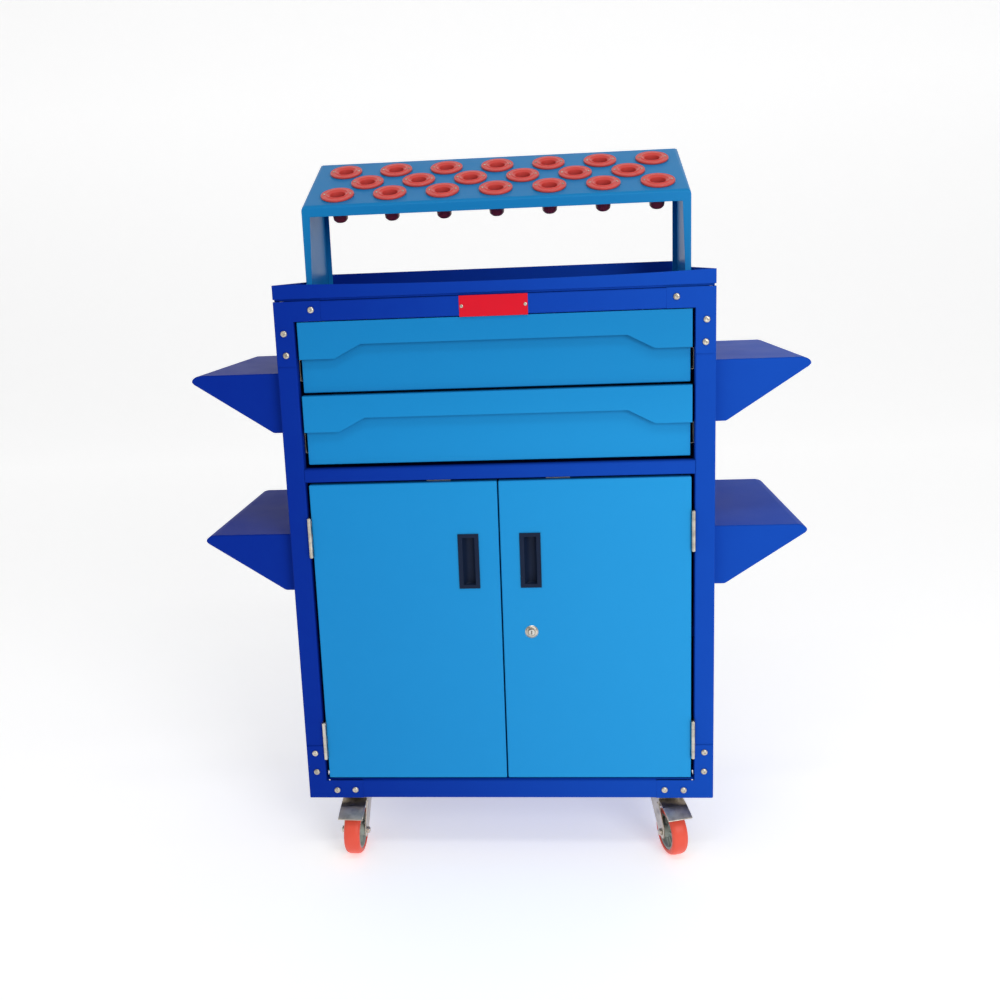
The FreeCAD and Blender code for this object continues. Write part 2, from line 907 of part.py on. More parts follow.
def build_fixed_leaves():
    """The leaves on the posts, and the pins held in them."""
    leaves = []
    pins = []
    span = (opening_half - sizes.hinge_sheet, opening_half)
    for side in ("left", "right"):
        across, along = hinge_axis(side)
        for place, low in hinge_heights():
            label = f"{side}_{place}_fixed"
            leaves.append(hinge_leaf(label, side, low, (0, 2, 4), span, sizes.hinge_pin / 2))
            spot = (across, along, low - 0.8)
            length = sizes.hinge_length + 1.6
            pins.append(rod(f"{side}_{place}_pin", "Z", sizes.hinge_pin / 2, length, spot))
    keep(together("fixed_leaf_set", leaves), "hinge_fixed_leaves")
    keep(together("hinge_pin_set", pins), "hinge_pins")


def build_lock():
    """The cam lock of the right door, resting open with its cam hanging down."""
    spot_x = sizes.lock_across
    spot_z = above_base(sizes.lock_height)
    flange = rod("lock_flange", "Y", sizes.lock_flange / 2, 3, (spot_x, front - 3, spot_z))
    barrel_length = sizes.door_thickness + 1
    barrel = rod(
        "lock_barrel", "Y", sizes.lock_barrel / 2, barrel_length, (spot_x, front, spot_z)
    )
    nut = rod("lock_nut", "Y", sizes.lock_barrel / 2 + 4, 4, (spot_x, front + 1.2, spot_z))
    bore_radius = sizes.lock_plug / 2 + sizes.running_gap
    bore = rod("lock_bore", "Y", bore_radius, barrel_length + 10, (spot_x, front - 5, spot_z))
    housing = take("lock_body", join("lock_turning", [flange, barrel, nut]), bore)
    keep(housing, "lock_housing")
    plug_length = barrel_length + 7.5
    plug = rod("plug_bar", "Y", sizes.lock_plug / 2, plug_length, (spot_x, front - 4, spot_z))
    slot = block(
        "key_slot",
        (spot_x - 1.1, spot_x + 1.1),
        (front - 5, front + 10),
        (spot_z - 3.8, spot_z + 3.8),
    )
    keep(take("plug_slotted", plug, slot), "lock_plug")
    rear = front + barrel_length + 0.5
    arm = block("cam_arm", (spot_x - 8, spot_x + 8), (rear, rear + 2.5), (spot_z - 62, spot_z + 10))
    eye = rod("cam_eye", "Y", sizes.lock_plug / 2, 6, (spot_x, rear - 1, spot_z))
    keep(take("cam_punched", arm, eye), "lock_cam")


def build_catches():
    """Magnetic catches under the divider, one behind each door."""
    catches = []
    face = front + sizes.door_thickness + 0.5
    top = above_base(sizes.middle_rail_low) + sizes.post_sheet
    for side in ("left", "right"):
        catches.append(
            block(f"{side}_catch", sided(side, 90, 135), (face + 2, face + 17), (top - 15, top))
        )
    keep(together("catch_pair", catches), "magnetic_catches")


# Top tray, brackets and plate ----------------------------------------------------------

def build_tray():
    """The top tray: a floor, a small step outward, and folded rims, the back one taller."""
    gauge = sizes.panel_sheet
    low = above_base(sizes.frame_height)
    rim_low = low + sizes.tray_step
    rim_high = rim_low + sizes.tray_rim
    inset = sizes.tray_floor_inset
    whole = (-half_width, half_width)
    across = (-half_width + inset, half_width - inset)
    along = (front + inset, back - inset)
    pan = take(
        "tray_pan",
        join(
            "tray_stepped",
            [
                block("tray_step_outer", across, along, (low, rim_low + gauge)),
                block("tray_ledge", whole, (front, back), (rim_low, rim_low + gauge)),
            ],
        ),
        block(
            "tray_hollow",
            (across[0] + gauge, across[1] - gauge),
            (along[0] + gauge, along[1] - gauge),
            (low + gauge, rim_high),
        ),
    )
    rims = [
        block("tray_front", whole, (front, front + gauge), (rim_low, rim_high)),
        block(
            "tray_back", whole, (back - gauge, back), (rim_low, rim_high + sizes.tray_back_rise)
        ),
    ]
    for side in ("left", "right"):
        edge = sided(side, half_width - gauge, half_width)
        rims.append(block(f"tray_{side}", edge, (front, back), (rim_low, rim_high)))
    keep(join("tray_folded", [pan] + rims), "top_tray")


def wedge_outline():
    """A wedge bracket's end outline, clockwise from its upper inner corner."""
    reach = sizes.wedge_reach
    fall = sizes.wedge_fall
    return [
        (0, 0),
        (reach - 17, 0),
        (reach - 7.5, -2.2),
        (reach - 1.5, -7),
        (reach, -12),
        (reach - 4.5, -17),
        (21.5, -fall),
        (0, -fall),
    ]


def taken_in(corners, margin):
    """A clockwise outline moved inward by margin, its corners mitred."""
    points = [Vector(as_size(a).value, as_size(b).value, 0) for a, b in corners]
    inward = []
    for index, point in enumerate(points):
        run = points[(index + 1) % len(points)] - point
        run.normalize()
        inward.append(Vector(run.y, -run.x, 0))
    moved = []
    for index, (a, b) in enumerate(corners):
        before = inward[index - 1]
        after = inward[index]
        mitre = (before + after) * (1 / (1 + before.dot(after)))
        moved.append((a + margin * mitre.x, b + margin * mitre.y))
    return moved


def build_wedge(label, side, top_over_base):
    """A hollow wedge of folded sheet with a plate that fixes it to the cabinet's side."""
    gauge = sizes.panel_sheet
    sign = 1 if side == "right" else -1
    top = above_base(top_over_base)
    start = half_width + sizes.wedge_gap
    near = front + sizes.wedge_front
    far = back - sizes.wedge_front
    hollow = taken_in(wedge_outline(), gauge)
    hollow[0] = (0, hollow[0][1])
    hollow[-1] = (0, hollow[-1][1])
    outside = [(sign * (start + a), b) for a, b in wedge_outline()]
    inside = [(sign * (start + a), b) for a, b in hollow]
    shell = padded(f"{label}_skin", "XZ_Plane", outside, far - near, (0, far, top))
    room = padded(
        f"{label}_room", "XZ_Plane", inside, far - near - 2 * gauge, (0, far - gauge, top)
    )
    plate = block(
        f"{label}_plate",
        sided(side, half_width, start + gauge),
        (near + gauge / 2, far - gauge / 2),
        (top - sizes.wedge_fall + gauge / 2, top - gauge / 2),
    )
    keep(join(f"{label}_folded", [take(f"{label}_shell", shell, room), plate]), label)


def build_name_plate():
    """A blank red plate on the top rail with its two rivets."""
    middle = sizes.plate_centre
    half = sizes.plate_width / 2
    face = proud - 1.5
    low = above_base(sizes.top_rail_low) - 1.5
    high = above_base(sizes.top_rail_high)
    plate = block("plate_blank", (middle - half, middle + half), (face, proud), (low, high))
    spots = []
    rivet_reach = 57.5
    height = sizes.frame_base.value + 967.0
    for sign in (-1, 1):
        point = Vector(middle.value + sign * rivet_reach, face.value, height)
        spots.append(Placement(point, FACING_FRONT))
    hole = Part.makeCylinder(1.6, 3, Vector(0, 0, -2.5))
    keep(take("plate_punched", plate, grouped("rivet_holes", hole, spots)), "name_plate")
    rivet = dome_screw(3.2, 1.4, 1.6, 1.5)
    keep(grouped("rivet_pair", rivet, spots), "name_plate_rivets")


# Rack and tool pots --------------------------------------------------------------------

def rack_frame():
    """The sloping plate's own frame: X across, Y up the slope, Z out of the plate."""
    rise = (sizes.rack_high_edge - sizes.rack_low_edge).value
    slope = math.degrees(math.atan2(rise, sizes.rack_run.value))
    corner = Vector(
        0,
        front.value + sizes.rack_front.value,
        sizes.frame_base.value + sizes.rack_low_edge.value,
    )
    return Placement(corner, Rotation(Vector(1, 0, 0), slope))


POT_ROWS = (7, 6, 7)


def pot_places():
    """Placements of the tool pots, in three staggered rows."""
    places = []
    slope_frame = rack_frame()
    for row, count in enumerate(POT_ROWS):
        along = sizes.pot_front_row.value + row * sizes.pot_row_pitch.value
        for index in range(count):
            across = (index - (count - 1) / 2) * sizes.pot_pitch.value + sizes.pot_shift.value
            places.append(slope_frame.multiply(Placement(Vector(across, along, 0), Rotation())))
    return places


def build_rack():
    """The bent rack: a sloping plate with folded lips on two channel legs."""
    gauge = sizes.rack_sheet
    foot = above_base(sizes.frame_height) + sizes.panel_sheet
    low_edge = above_base(sizes.rack_low_edge)
    rise = sizes.rack_high_edge - sizes.rack_low_edge
    near = front + sizes.rack_front
    far = near + sizes.rack_run
    drop = gauge / math.cos(math.radians(rack_frame().Rotation.Angle * 180 / math.pi))
    plate_corners = [
        (0, 0),
        (sizes.rack_run, rise),
        (sizes.rack_run, rise - sizes.rack_lip),
        (sizes.rack_run - gauge, rise - sizes.rack_lip),
        (sizes.rack_run - gauge, rise - drop - 1),
        (gauge, 1 - drop),
        (gauge, -sizes.rack_lip),
        (0, -sizes.rack_lip),
    ]
    plate = padded(
        "rack_plate",
        "YZ_Plane",
        plate_corners,
        2 * sizes.rack_half,
        (-sizes.rack_half, near, low_edge),
    )
    pieces = [plate]
    leg_height = low_edge - foot
    leg_corners = [
        (0, 0),
        (sizes.rack_run, 0),
        (sizes.rack_run, leg_height + rise - 0.5),
        (0, leg_height - 0.5),
    ]
    for side in ("left", "right"):
        web_start = sizes.rack_half - gauge if side == "right" else -sizes.rack_half
        web = padded(
            f"rack_{side}_web", "YZ_Plane", leg_corners, gauge, (web_start, near, foot)
        )
        flange = sided(side, sizes.rack_half - sizes.rack_flange, sizes.rack_half)
        flange_height = low_edge - 2 - foot
        inward = 1 if side == "left" else -1
        front_flange = padded(
            f"rack_{side}_front_flange",
            "XZ_Plane",
            [
                (0, 0),
                (sizes.rack_flange * inward, 0),
                (sizes.rack_flange_top * inward, flange_height),
                (0, flange_height),
            ],
            gauge,
            (sizes.rack_half * -inward, near + gauge, foot),
        )
        rear_flange = block(
            f"rack_{side}_rear_flange",
            flange,
            (far - gauge, far),
            (foot, low_edge + rise - 2),
        )
        sole = block(
            f"rack_{side}_foot",
            sided(side, sizes.rack_half - sizes.rack_foot, sizes.rack_half),
            (near, far),
            (foot, foot + gauge),
        )
        pieces += [web, front_flange, rear_flange, sole]
    bent = join("rack_bent", pieces)
    hole_radius = (sizes.pot_body / 2 + sizes.fit_gap).value
    hole = Part.makeCylinder(hole_radius, 12, Vector(0, 0, -8))
    for sign in (-1, 1):
        centre = Vector(sign * sizes.pot_screw_circle.value / 2, 0, -8)
        hole = hole.fuse(Part.makeCylinder(1.5, 12, centre))
    keep(take("rack_punched", bent, grouped("pot_holes", hole, pot_places())), "rack_bridge")


def pot_solid():
    """One tool pot: flange, raised ring, taper seat and tail, with two screw holes."""
    flange_top = sizes.pot_flange_thick.value
    ring_top = flange_top + sizes.pot_ring_rise.value
    tail = -sizes.pot_depth.value
    bore = sizes.pot_bore.value / 2
    body = sizes.pot_body.value / 2
    tail_radius = sizes.pot_tail.value / 2
    corners = [
        (bore, tail),
        (bore, tail + sizes.pot_bore_length.value),
        (sizes.pot_mouth.value / 2, flange_top - sizes.pot_mouth_drop.value),
        (sizes.pot_ring.value / 2 - 1.5, ring_top),
        (sizes.pot_ring.value / 2, ring_top),
        (sizes.pot_ring.value / 2 + 1.5, flange_top),
        (sizes.pot_flange.value / 2 - 1.2, flange_top),
        (sizes.pot_flange.value / 2, flange_top - 1.2),
        (sizes.pot_flange.value / 2, 0),
        (body, 0),
        (body, -4),
        (tail_radius + 1, tail + 15),
        (tail_radius, tail + 4),
        (tail_radius - 3, tail),
    ]
    solid = turned_solid(corners)
    for sign in (-1, 1):
        centre = Vector(sign * sizes.pot_screw_circle.value / 2, 0, -1)
        solid = solid.cut(Part.makeCylinder(1.5, flange_top + 2, centre))
    return solid


def build_pots():
    """The twenty tool pots and the two screws of each."""
    keep(grouped("tool_pot_set", pot_solid(), pot_places()), "tool_pots")
    screw = dome_screw(2.8, 1.6, 1.5, 7)
    spots = []
    for place in pot_places():
        for sign in (-1, 1):
            offset = Vector(
                sign * sizes.pot_screw_circle.value / 2, 0, sizes.pot_flange_thick.value
            )
            spots.append(place.multiply(Placement(offset, Rotation())))
    keep(grouped("pot_screw_set", screw, spots), "pot_screws")


# Casters -------------------------------------------------------------------------------

CASTERS = ("front_left", "front_right", "rear_left", "rear_right")
TOP_PLATE_HALF = (47.5, 33.5)
BOLT_REACH = (37.5, 22.5)
PLATE_THICK = 3.0
CROWN_TOP = 8.3
CROWN_THICK = 4.0
PEDAL_PIVOT = (-20.0, 98.0)


def caster_centre(corner):
    """X and Y of a caster's swivel axis."""
    across = sizes.caster_across if "right" in corner else -sizes.caster_across
    along = front + sizes.caster_back if "front" in corner else back - sizes.caster_back
    return across, along


def caster_bolt_spots(side):
    """X and Y of the bolts of both casters on one side."""
    spots = []
    for corner in (f"front_{side}", f"rear_{side}"):
        across, along = caster_centre(corner)
        for right in (-1, 1):
            for rear in (-1, 1):
                spots.append((across + right * BOLT_REACH[0], along + rear * BOLT_REACH[1]))
    return spots


def build_caster_plates():
    """The four top plates, each with its swivel race and kingpin, and their bolts."""
    plates = []
    bolt_places = []
    for corner in CASTERS:
        across, along = caster_centre(corner)
        plate = block(
            f"{corner}_plate",
            (across - TOP_PLATE_HALF[0], across + TOP_PLATE_HALF[0]),
            (along - TOP_PLATE_HALF[1], along + TOP_PLATE_HALF[1]),
            (base - PLATE_THICK, base),
        )
        race = rod(f"{corner}_race", "Z", 22.0, 5.0, (across, along, base - 8.0))
        pin = rod(f"{corner}_kingpin", "Z", sizes.kingpin / 2, 18.0, (across, along, base - 21.0))
        head = rod(f"{corner}_kingpin_head", "Z", 9.5, 3.5, (across, along, base - 16.2))
        whole = join(f"{corner}_swivel_top", [plate, race, pin, head])
        holes = []
        for right in (-1, 1):
            for rear in (-1, 1):
                spot = (across + right * BOLT_REACH[0], along + rear * BOLT_REACH[1], base - 6)
                holes.append(rod(f"{corner}_hole_{len(holes)}", "Z", 4.0, 8, spot))
        plates.append(take(f"{corner}_top_plate", whole, join(f"{corner}_plate_holes", holes)))
    keep(together("top_plate_set", plates), "caster_top_plates")
    bolt = dome_screw(7.0, 3.6, 4.0, 11.0)
    for side in ("left", "right"):
        for x, y in caster_bolt_spots(side):
            point = Vector(x.value, y.value, base.value - PLATE_THICK)
            bolt_places.append(Placement(point, Rotation(Vector(1, 0, 0), 180)))
    keep(grouped("caster_bolt_set", bolt, bolt_places), "caster_bolts")


def set_on_caster(piece, corner):
    """Place a piece drawn about the swivel axis on its corner, turned with the fork."""
    across, along = caster_centre(corner)
    turn = getattr(sizes, f"{corner}_turn")
    piece.Placement = Placement(Vector(), Rotation(Vector(0, 0, 1), turn.value))
    bind(piece, {"Placement.Base.x": across, "Placement.Base.y": along})
    piece.setExpression("Placement.Rotation.Angle", f"{turn.formula} * 1 deg")
    return piece


def fork_leg_outline():
    """A fork leg's outline in Y and Z, from the crown down to the axle."""
    axle_y = -sizes.caster_trail
    axle_z = sizes.wheel_diameter / 2
    crown = base - CROWN_TOP
    return [
        (22, crown),
        (22, crown - 17),
        (axle_y + 13, axle_z - 6),
        (axle_y + 7, axle_z - 12),
        (axle_y - 7, axle_z - 12),
        (axle_y - 12, axle_z - 4),
        (axle_y - 10, axle_z + 12),
        (-26, crown - 20),
        (-24, crown),
    ]


def build_fork(corner, braked):
    """A caster's fork with its axle bolt and nut, drawn about the swivel axis."""
    crown = base - CROWN_TOP
    inside = sizes.fork_inside / 2
    outside = inside + sizes.fork_sheet
    disc = rod(f"{corner}_crown_disc", "Z", 25.0, CROWN_THICK, (0, 0, crown - CROWN_THICK))
    deck = block(
        f"{corner}_crown_deck", (-outside, outside), (-24, 22), (crown - CROWN_THICK, crown)
    )
    legs = []
    for hand, start in (("a", inside), ("b", -outside)):
        legs.append(
            padded(
                f"{corner}_leg_{hand}",
                "YZ_Plane",
                fork_leg_outline(),
                sizes.fork_sheet,
                (start, 0, 0),
            )
        )
    frame = join(f"{corner}_fork_pressed", [disc, deck] + legs)
    axle_y = -sizes.caster_trail
    axle_z = sizes.wheel_diameter / 2
    tools = [
        rod(f"{corner}_kingpin_bore", "Z", sizes.kingpin / 2 + 0.05, 12, (0, 0, crown - 8)),
        rod(
            f"{corner}_axle_hole",
            "X",
            sizes.axle / 2,
            2 * outside + 4,
            (-outside - 2, axle_y, axle_z),
        ),
    ]
    if braked:
        spot = (-outside - 2, PEDAL_PIVOT[0], PEDAL_PIVOT[1])
        tools.append(rod(f"{corner}_pivot_hole", "X", 2.5, 2 * outside + 4, spot))
    fork = take(f"{corner}_fork_bored", frame, join(f"{corner}_fork_tools", tools))
    pin = rod(
        f"{corner}_axle_pin", "X", sizes.axle / 2, 2 * outside + 12, (-outside - 6, axle_y, axle_z)
    )
    head = hexagon(f"{corner}_axle_head", 14.4, 5.0, (outside, axle_y, axle_z))
    nut = hexagon(f"{corner}_axle_nut", 14.4, 5.0, (-outside - 5, axle_y, axle_z))
    axle = join(f"{corner}_axle", [pin, head, nut])
    solids = [fork, axle]
    if braked:
        spot = (-outside - 1, PEDAL_PIVOT[0], PEDAL_PIVOT[1])
        solids.append(rod(f"{corner}_pivot_pin", "X", 2.5, 2 * outside + 2, spot))
    piece = set_on_caster(together(f"{corner}_fork_set", solids), corner)
    keep(piece, f"{corner}_caster_fork")


def build_wheel(corner):
    """A caster's tyre and hub, each turned about the axle."""
    half = sizes.wheel_width / 2
    outer = sizes.wheel_diameter / 2
    seat = sizes.hub_diameter / 2
    bore = sizes.axle / 2 + sizes.running_gap
    tyre = revolved(
        f"{corner}_tyre_ring",
        [
            (seat, -half + 1),
            (seat + 1.5, -half),
            (outer - 6, -half),
            (outer - 1.6, -half + 3.2),
            (outer, -half + 8),
            (outer, half - 8),
            (outer - 1.6, half - 3.2),
            (outer - 6, half),
            (seat + 1.5, half),
            (seat, half - 1),
        ],
    )
    boss = sizes.fork_inside / 2 - 0.6
    hub = revolved(
        f"{corner}_hub_core",
        [
            (bore, -boss),
            (11, -boss),
            (12, -7),
            (seat - 5, -5),
            (seat - 4, -half + 2),
            (seat, -half + 2),
            (seat, half - 2),
            (seat - 4, half - 2),
            (seat - 5, 5),
            (12, 7),
            (11, boss),
            (bore, boss),
        ],
    )
    for piece, label in ((tyre, "tyre"), (hub, "hub")):
        place_wheel_part(piece, corner)
        keep(piece, f"{corner}_caster_{label}")


def place_wheel_part(piece, corner):
    """Lay a part turned about Z along the axle of its caster."""
    across, along = caster_centre(corner)
    turn = getattr(sizes, f"{corner}_turn")
    fork_turn = Rotation(Vector(0, 0, 1), turn.value)
    piece.Placement = Placement(Vector(), fork_turn.multiply(TURN_TO_AXIS["X"]))
    sine = f"sin({turn.formula} * 1 deg)"
    cosine = f"cos({turn.formula} * 1 deg)"
    trail = sizes.caster_trail.formula
    piece.setExpression("Placement.Base.x", f"{across.formula} + {trail} * {sine}")
    piece.setExpression("Placement.Base.y", f"{along.formula} - {trail} * {cosine}")
    piece.setExpression("Placement.Base.z", (sizes.wheel_diameter / 2).formula)


def build_pedal(corner):
    """A brake pedal: a bent tongue over the wheel between two pivot ears."""
    half = sizes.pedal_width / 2
    ear = 16.6
    pivot_y, pivot_z = PEDAL_PIVOT
    thick = 2.5
    tongue_corners = [
        (-30, pivot_z + 11.5),
        (-52, pivot_z + 5),
        (-70, pivot_z - 3.5),
        (-79, pivot_z - 8.5),
        (-80, pivot_z - 6.2),
        (-71, pivot_z - 1),
        (-53, pivot_z + 7.5),
        (-30, pivot_z + 11.5 + thick),
    ]
    tongue = padded(
        f"{corner}_tongue",
        "YZ_Plane",
        [(as_size(a), as_size(b)) for a, b in tongue_corners],
        sizes.pedal_width,
        (-half, 0, 0),
    )
    bridge = block(
        f"{corner}_pedal_bridge",
        (-ear - thick, ear + thick),
        (-34, pivot_y + 4),
        (pivot_z + 8.5, pivot_z + 11),
    )
    neck = block(
        f"{corner}_pedal_neck",
        (-ear - thick, ear + thick),
        (-34, -31.5),
        (pivot_z + 8.5, pivot_z + 12.5),
    )
    ears = []
    for hand, start in (("a", ear), ("b", -ear - thick)):
        ears.append(
            block(
                f"{corner}_pedal_ear_{hand}",
                (start, start + thick),
                (pivot_y - 7, pivot_y + 4),
                (pivot_z - 5, pivot_z + 11),
            )
        )
    solid = join(f"{corner}_pedal_pressed", [tongue, bridge, neck] + ears)
    spot = (-half - 10, pivot_y, pivot_z)
    bore = rod(f"{corner}_pedal_bore", "X", 2.5 + 0.05, sizes.pedal_width + 20, spot)
    piece = set_on_caster(take(f"{corner}_pedal_bored", solid, bore), corner)
    keep(piece, f"{corner}_brake_pedal")


# Assembly ------------------------------------------------------------------------------

def build_all():
    """Make every sub-part."""
    build_frame()
    build_panels()
    build_fixed_runners()
    build_drawer(1, sizes.drawer_upper_base)
    build_drawer(2, sizes.drawer_lower_base)
    for side in ("left", "right"):
        build_door(side)
    build_fixed_leaves()
    build_lock()
    build_catches()
    build_tray()
    for side in ("left", "right"):
        build_wedge(f"upper_{side}_bracket", side, sizes.wedge_top_upper)
        build_wedge(f"lower_{side}_bracket", side, sizes.wedge_top_lower)
    build_name_plate()
    build_rack()
    build_pots()
    build_caster_plates()
    for corner in CASTERS:
        braked = corner.startswith("front")
        build_fork(corner, braked)
        build_wheel(corner)
        if braked:
            build_pedal(corner)


def check_document():
    """Stop if any object failed, or if a sub-part has no sound shape."""
    for item in doc.Objects:
        if "Invalid" in item.State or "Error" in item.State:
            raise RuntimeError(f"{item.Name} failed: {item.State}")
    for piece in SUB_PARTS:
        if piece.Shape.isNull() or not piece.Shape.isValid() or not piece.Shape.Solids:
            raise RuntimeError(f"{piece.Label} has no sound shape")


build_all()
doc.recompute()
check_document()
os.makedirs("parts", exist_ok=True)
for piece in SUB_PARTS:
    piece.Shape.exportStep(f"parts/{piece.Label}.step")
    print(piece.Label, len(piece.Shape.Solids), round(piece.Shape.Volume))
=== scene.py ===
"""Looks for the tool trolley: painted sheet steel, moulded pots and pulls, plated fittings.

Metres, +X right, +Y to the back, +Z up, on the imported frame's own bodies.
"""

import json
import math

import bmesh
import bpy
from mathutils import Matrix, Vector


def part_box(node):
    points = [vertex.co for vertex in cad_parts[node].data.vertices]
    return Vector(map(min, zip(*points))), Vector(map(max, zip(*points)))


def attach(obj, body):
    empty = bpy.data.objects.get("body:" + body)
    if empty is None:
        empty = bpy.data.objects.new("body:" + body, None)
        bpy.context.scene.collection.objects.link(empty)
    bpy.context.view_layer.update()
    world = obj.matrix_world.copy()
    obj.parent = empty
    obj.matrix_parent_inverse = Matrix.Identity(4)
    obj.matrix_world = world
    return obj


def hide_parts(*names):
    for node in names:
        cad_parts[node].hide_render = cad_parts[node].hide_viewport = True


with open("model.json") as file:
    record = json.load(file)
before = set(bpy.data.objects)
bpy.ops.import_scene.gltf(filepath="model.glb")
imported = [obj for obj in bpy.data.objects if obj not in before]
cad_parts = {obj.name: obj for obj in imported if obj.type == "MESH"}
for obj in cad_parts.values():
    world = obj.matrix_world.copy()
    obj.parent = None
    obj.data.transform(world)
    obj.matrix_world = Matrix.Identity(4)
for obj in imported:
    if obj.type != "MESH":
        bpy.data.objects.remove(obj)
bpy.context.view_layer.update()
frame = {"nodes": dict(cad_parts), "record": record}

RECORD = frame["record"]
MOUNTS = {mount["name"]: mount for mount in RECORD["mounts"]}
JOINTS = {joint["name"]: joint for joint in RECORD["behaviour"]["joints"]}
BODY_OF_NODE = {
    node: body for body, nodes in RECORD["behaviour"]["bodies"].items() for node in nodes
}
SLOT_OF_NODE = {entry["node"]: entry["material_slot"] for entry in RECORD["subparts"]}
CASTERS = ("front_left", "front_right", "rear_left", "rear_right")


# Materials ------------------------------------------------------------------------------

def tint(code):
    """The linear colour of a six-digit screen colour."""
    parts = [int(code[i : i + 2], 16) / 255 for i in (0, 2, 4)]
    linear = [c / 12.92 if c <= 0.04045 else ((c + 0.055) / 1.055) ** 2.4 for c in parts]
    return (*linear, 1.0)


class Field:
    """A shader value that works in sums and products."""

    def __init__(self, shader, socket):
        self.shader = shader
        self.socket = socket

    def worked(self, operation, first, second):
        node = self.shader.add("ShaderNodeMath", operation=operation)
        self.shader.feed(node.inputs[0], first)
        self.shader.feed(node.inputs[1], second)
        return Field(self.shader, node.outputs[0])

    def __add__(self, other):
        return self.worked("ADD", self, other)

    __radd__ = __add__

    def __sub__(self, other):
        return self.worked("SUBTRACT", self, other)

    def __rsub__(self, other):
        return self.worked("SUBTRACT", other, self)

    def __mul__(self, other):
        return self.worked("MULTIPLY", self, other)

    __rmul__ = __mul__

    def above(self, other):
        return self.worked("GREATER_THAN", self, other)

    def between(self, low, high):
        """This value spread from 0 at low to 1 at high, and held there."""
        inputs = {"Value": self, "From Min": low, "From Max": high}
        node = self.shader.add("ShaderNodeMapRange", inputs, interpolation_type="SMOOTHSTEP")
        return Field(self.shader, node.outputs["Result"])


class Shader:
    """A material under construction, with its surface node and object coordinates."""

    def __init__(self, name):
        self.material = bpy.data.materials.new(name)
        self.material.use_nodes = True
        self.tree = self.material.node_tree
        self.surface = self.tree.nodes["Principled BSDF"]
        self.place = self.add("ShaderNodeTexCoord").outputs["Object"]

    def add(self, kind, inputs=None, **settings):
        """Any node, with its settings and its inputs."""
        node = self.tree.nodes.new(kind)
        for name, value in settings.items():
            setattr(node, name, value)
        for name, value in (inputs or {}).items():
            self.feed(node.inputs[name], value)
        return node

    def feed(self, socket, value):
        """Link a value into a socket, or set it there."""
        if isinstance(value, Field):
            self.tree.links.new(value.socket, socket)
        elif isinstance(value, bpy.types.NodeSocket):
            self.tree.links.new(value, socket)
        else:
            socket.default_value = value

    def set(self, name, value):
        self.feed(self.surface.inputs[name], value)

    def noise(self, scale, detail=2.0, stretch=None):
        """A soft random field, in repeats per metre."""
        where = self.place
        if stretch:
            mapping = self.add("ShaderNodeMapping", {"Vector": where, "Scale": stretch})
            where = mapping.outputs["Vector"]
        inputs = {"Vector": where, "Scale": scale, "Detail": detail}
        return Field(self, self.add("ShaderNodeTexNoise", inputs).outputs["Fac"])

    def axis(self, name):
        """One coordinate, in metres."""
        split = self.add("ShaderNodeSeparateXYZ", {"Vector": self.place})
        return Field(self, split.outputs[name])

    def blended(self, first, second, share):
        """Two colours mixed by a share of the second."""
        node = self.add("ShaderNodeMix", data_type="RGBA")
        self.feed(node.inputs[0], share)
        self.feed(node.inputs[6], first)
        self.feed(node.inputs[7], second)
        return node.outputs[2]

    def bumped(self, height, strength, distance):
        """Small relief from a height field."""
        inputs = {"Height": height, "Strength": strength, "Distance": distance}
        self.set("Normal", self.add("ShaderNodeBump", inputs).outputs["Normal"])


def powder_coat(name, shaded, lit, upper=None, roughness=0.33, specular=0.13):
    """Semi-gloss powder coat: orange peel, slow drift, painted shade to the left and above, and
    painted light to the right.
    """
    shader = Shader(name)
    # Painted light and shade: the colour runs from the shaded tint on the left to the lit tint on
    # the right.
    across = shader.axis("X").between(-0.52, 0.52)
    drift = shader.noise(2.2, 3.0) * 0.16 + shader.noise(34.0, 4.0) * 0.1
    tone = shader.blended(shaded, lit, across * 0.9 + drift - 0.06)
    # Painted shade: high up, the colour darkens towards the upper tint.
    if upper:
        tone = shader.blended(tone, upper, shader.axis("Z").between(0.72, 1.12) * 0.75)
    shader.set("Base Color", tone)
    shader.set("Roughness", shader.noise(14.0, 3.0) * 0.12 + (roughness - 0.06))
    shader.set("Metallic", 0.0)
    shader.set("Specular IOR Level", specular)
    peel = shader.noise(420.0, 2.0) + shader.noise(1500.0, 1.0) * 0.35
    shader.bumped(peel, 0.12, 0.0004)
    return shader.material


def plated(name, colour, roughness, streak=90.0):
    """Plated steel with faint brushing and dull patches."""
    shader = Shader(name)
    dull = tuple(c * 0.62 for c in colour[:3]) + (1.0,)
    patches = shader.noise(55.0, 4.0)
    shader.set("Base Color", shader.blended(colour, dull, patches.between(0.4, 0.75)))
    shader.set("Roughness", shader.noise(130.0, 3.0) * 0.2 + roughness)
    shader.set("Metallic", 1.0)
    shader.bumped(shader.noise(streak, 3.0, (1.0, 1.0, 12.0)), 0.12, 0.0004)
    return shader.material


def moulded(name, colour, shade, roughness, specular=0.3, grain=900.0, relief=0.12):
    """Moulded plastic or polyurethane with a fine grain."""
    shader = Shader(name)
    shader.set("Base Color", shader.blended(colour, shade, shader.noise(30.0, 3.0) * 0.6))
    shader.set("Roughness", shader.noise(60.0, 3.0) * 0.16 + (roughness - 0.08))
    shader.set("Metallic", 0.0)
    shader.set("Specular IOR Level", specular)
    shader.bumped(shader.noise(grain, 2.0), relief, 0.0003)
    return shader.material


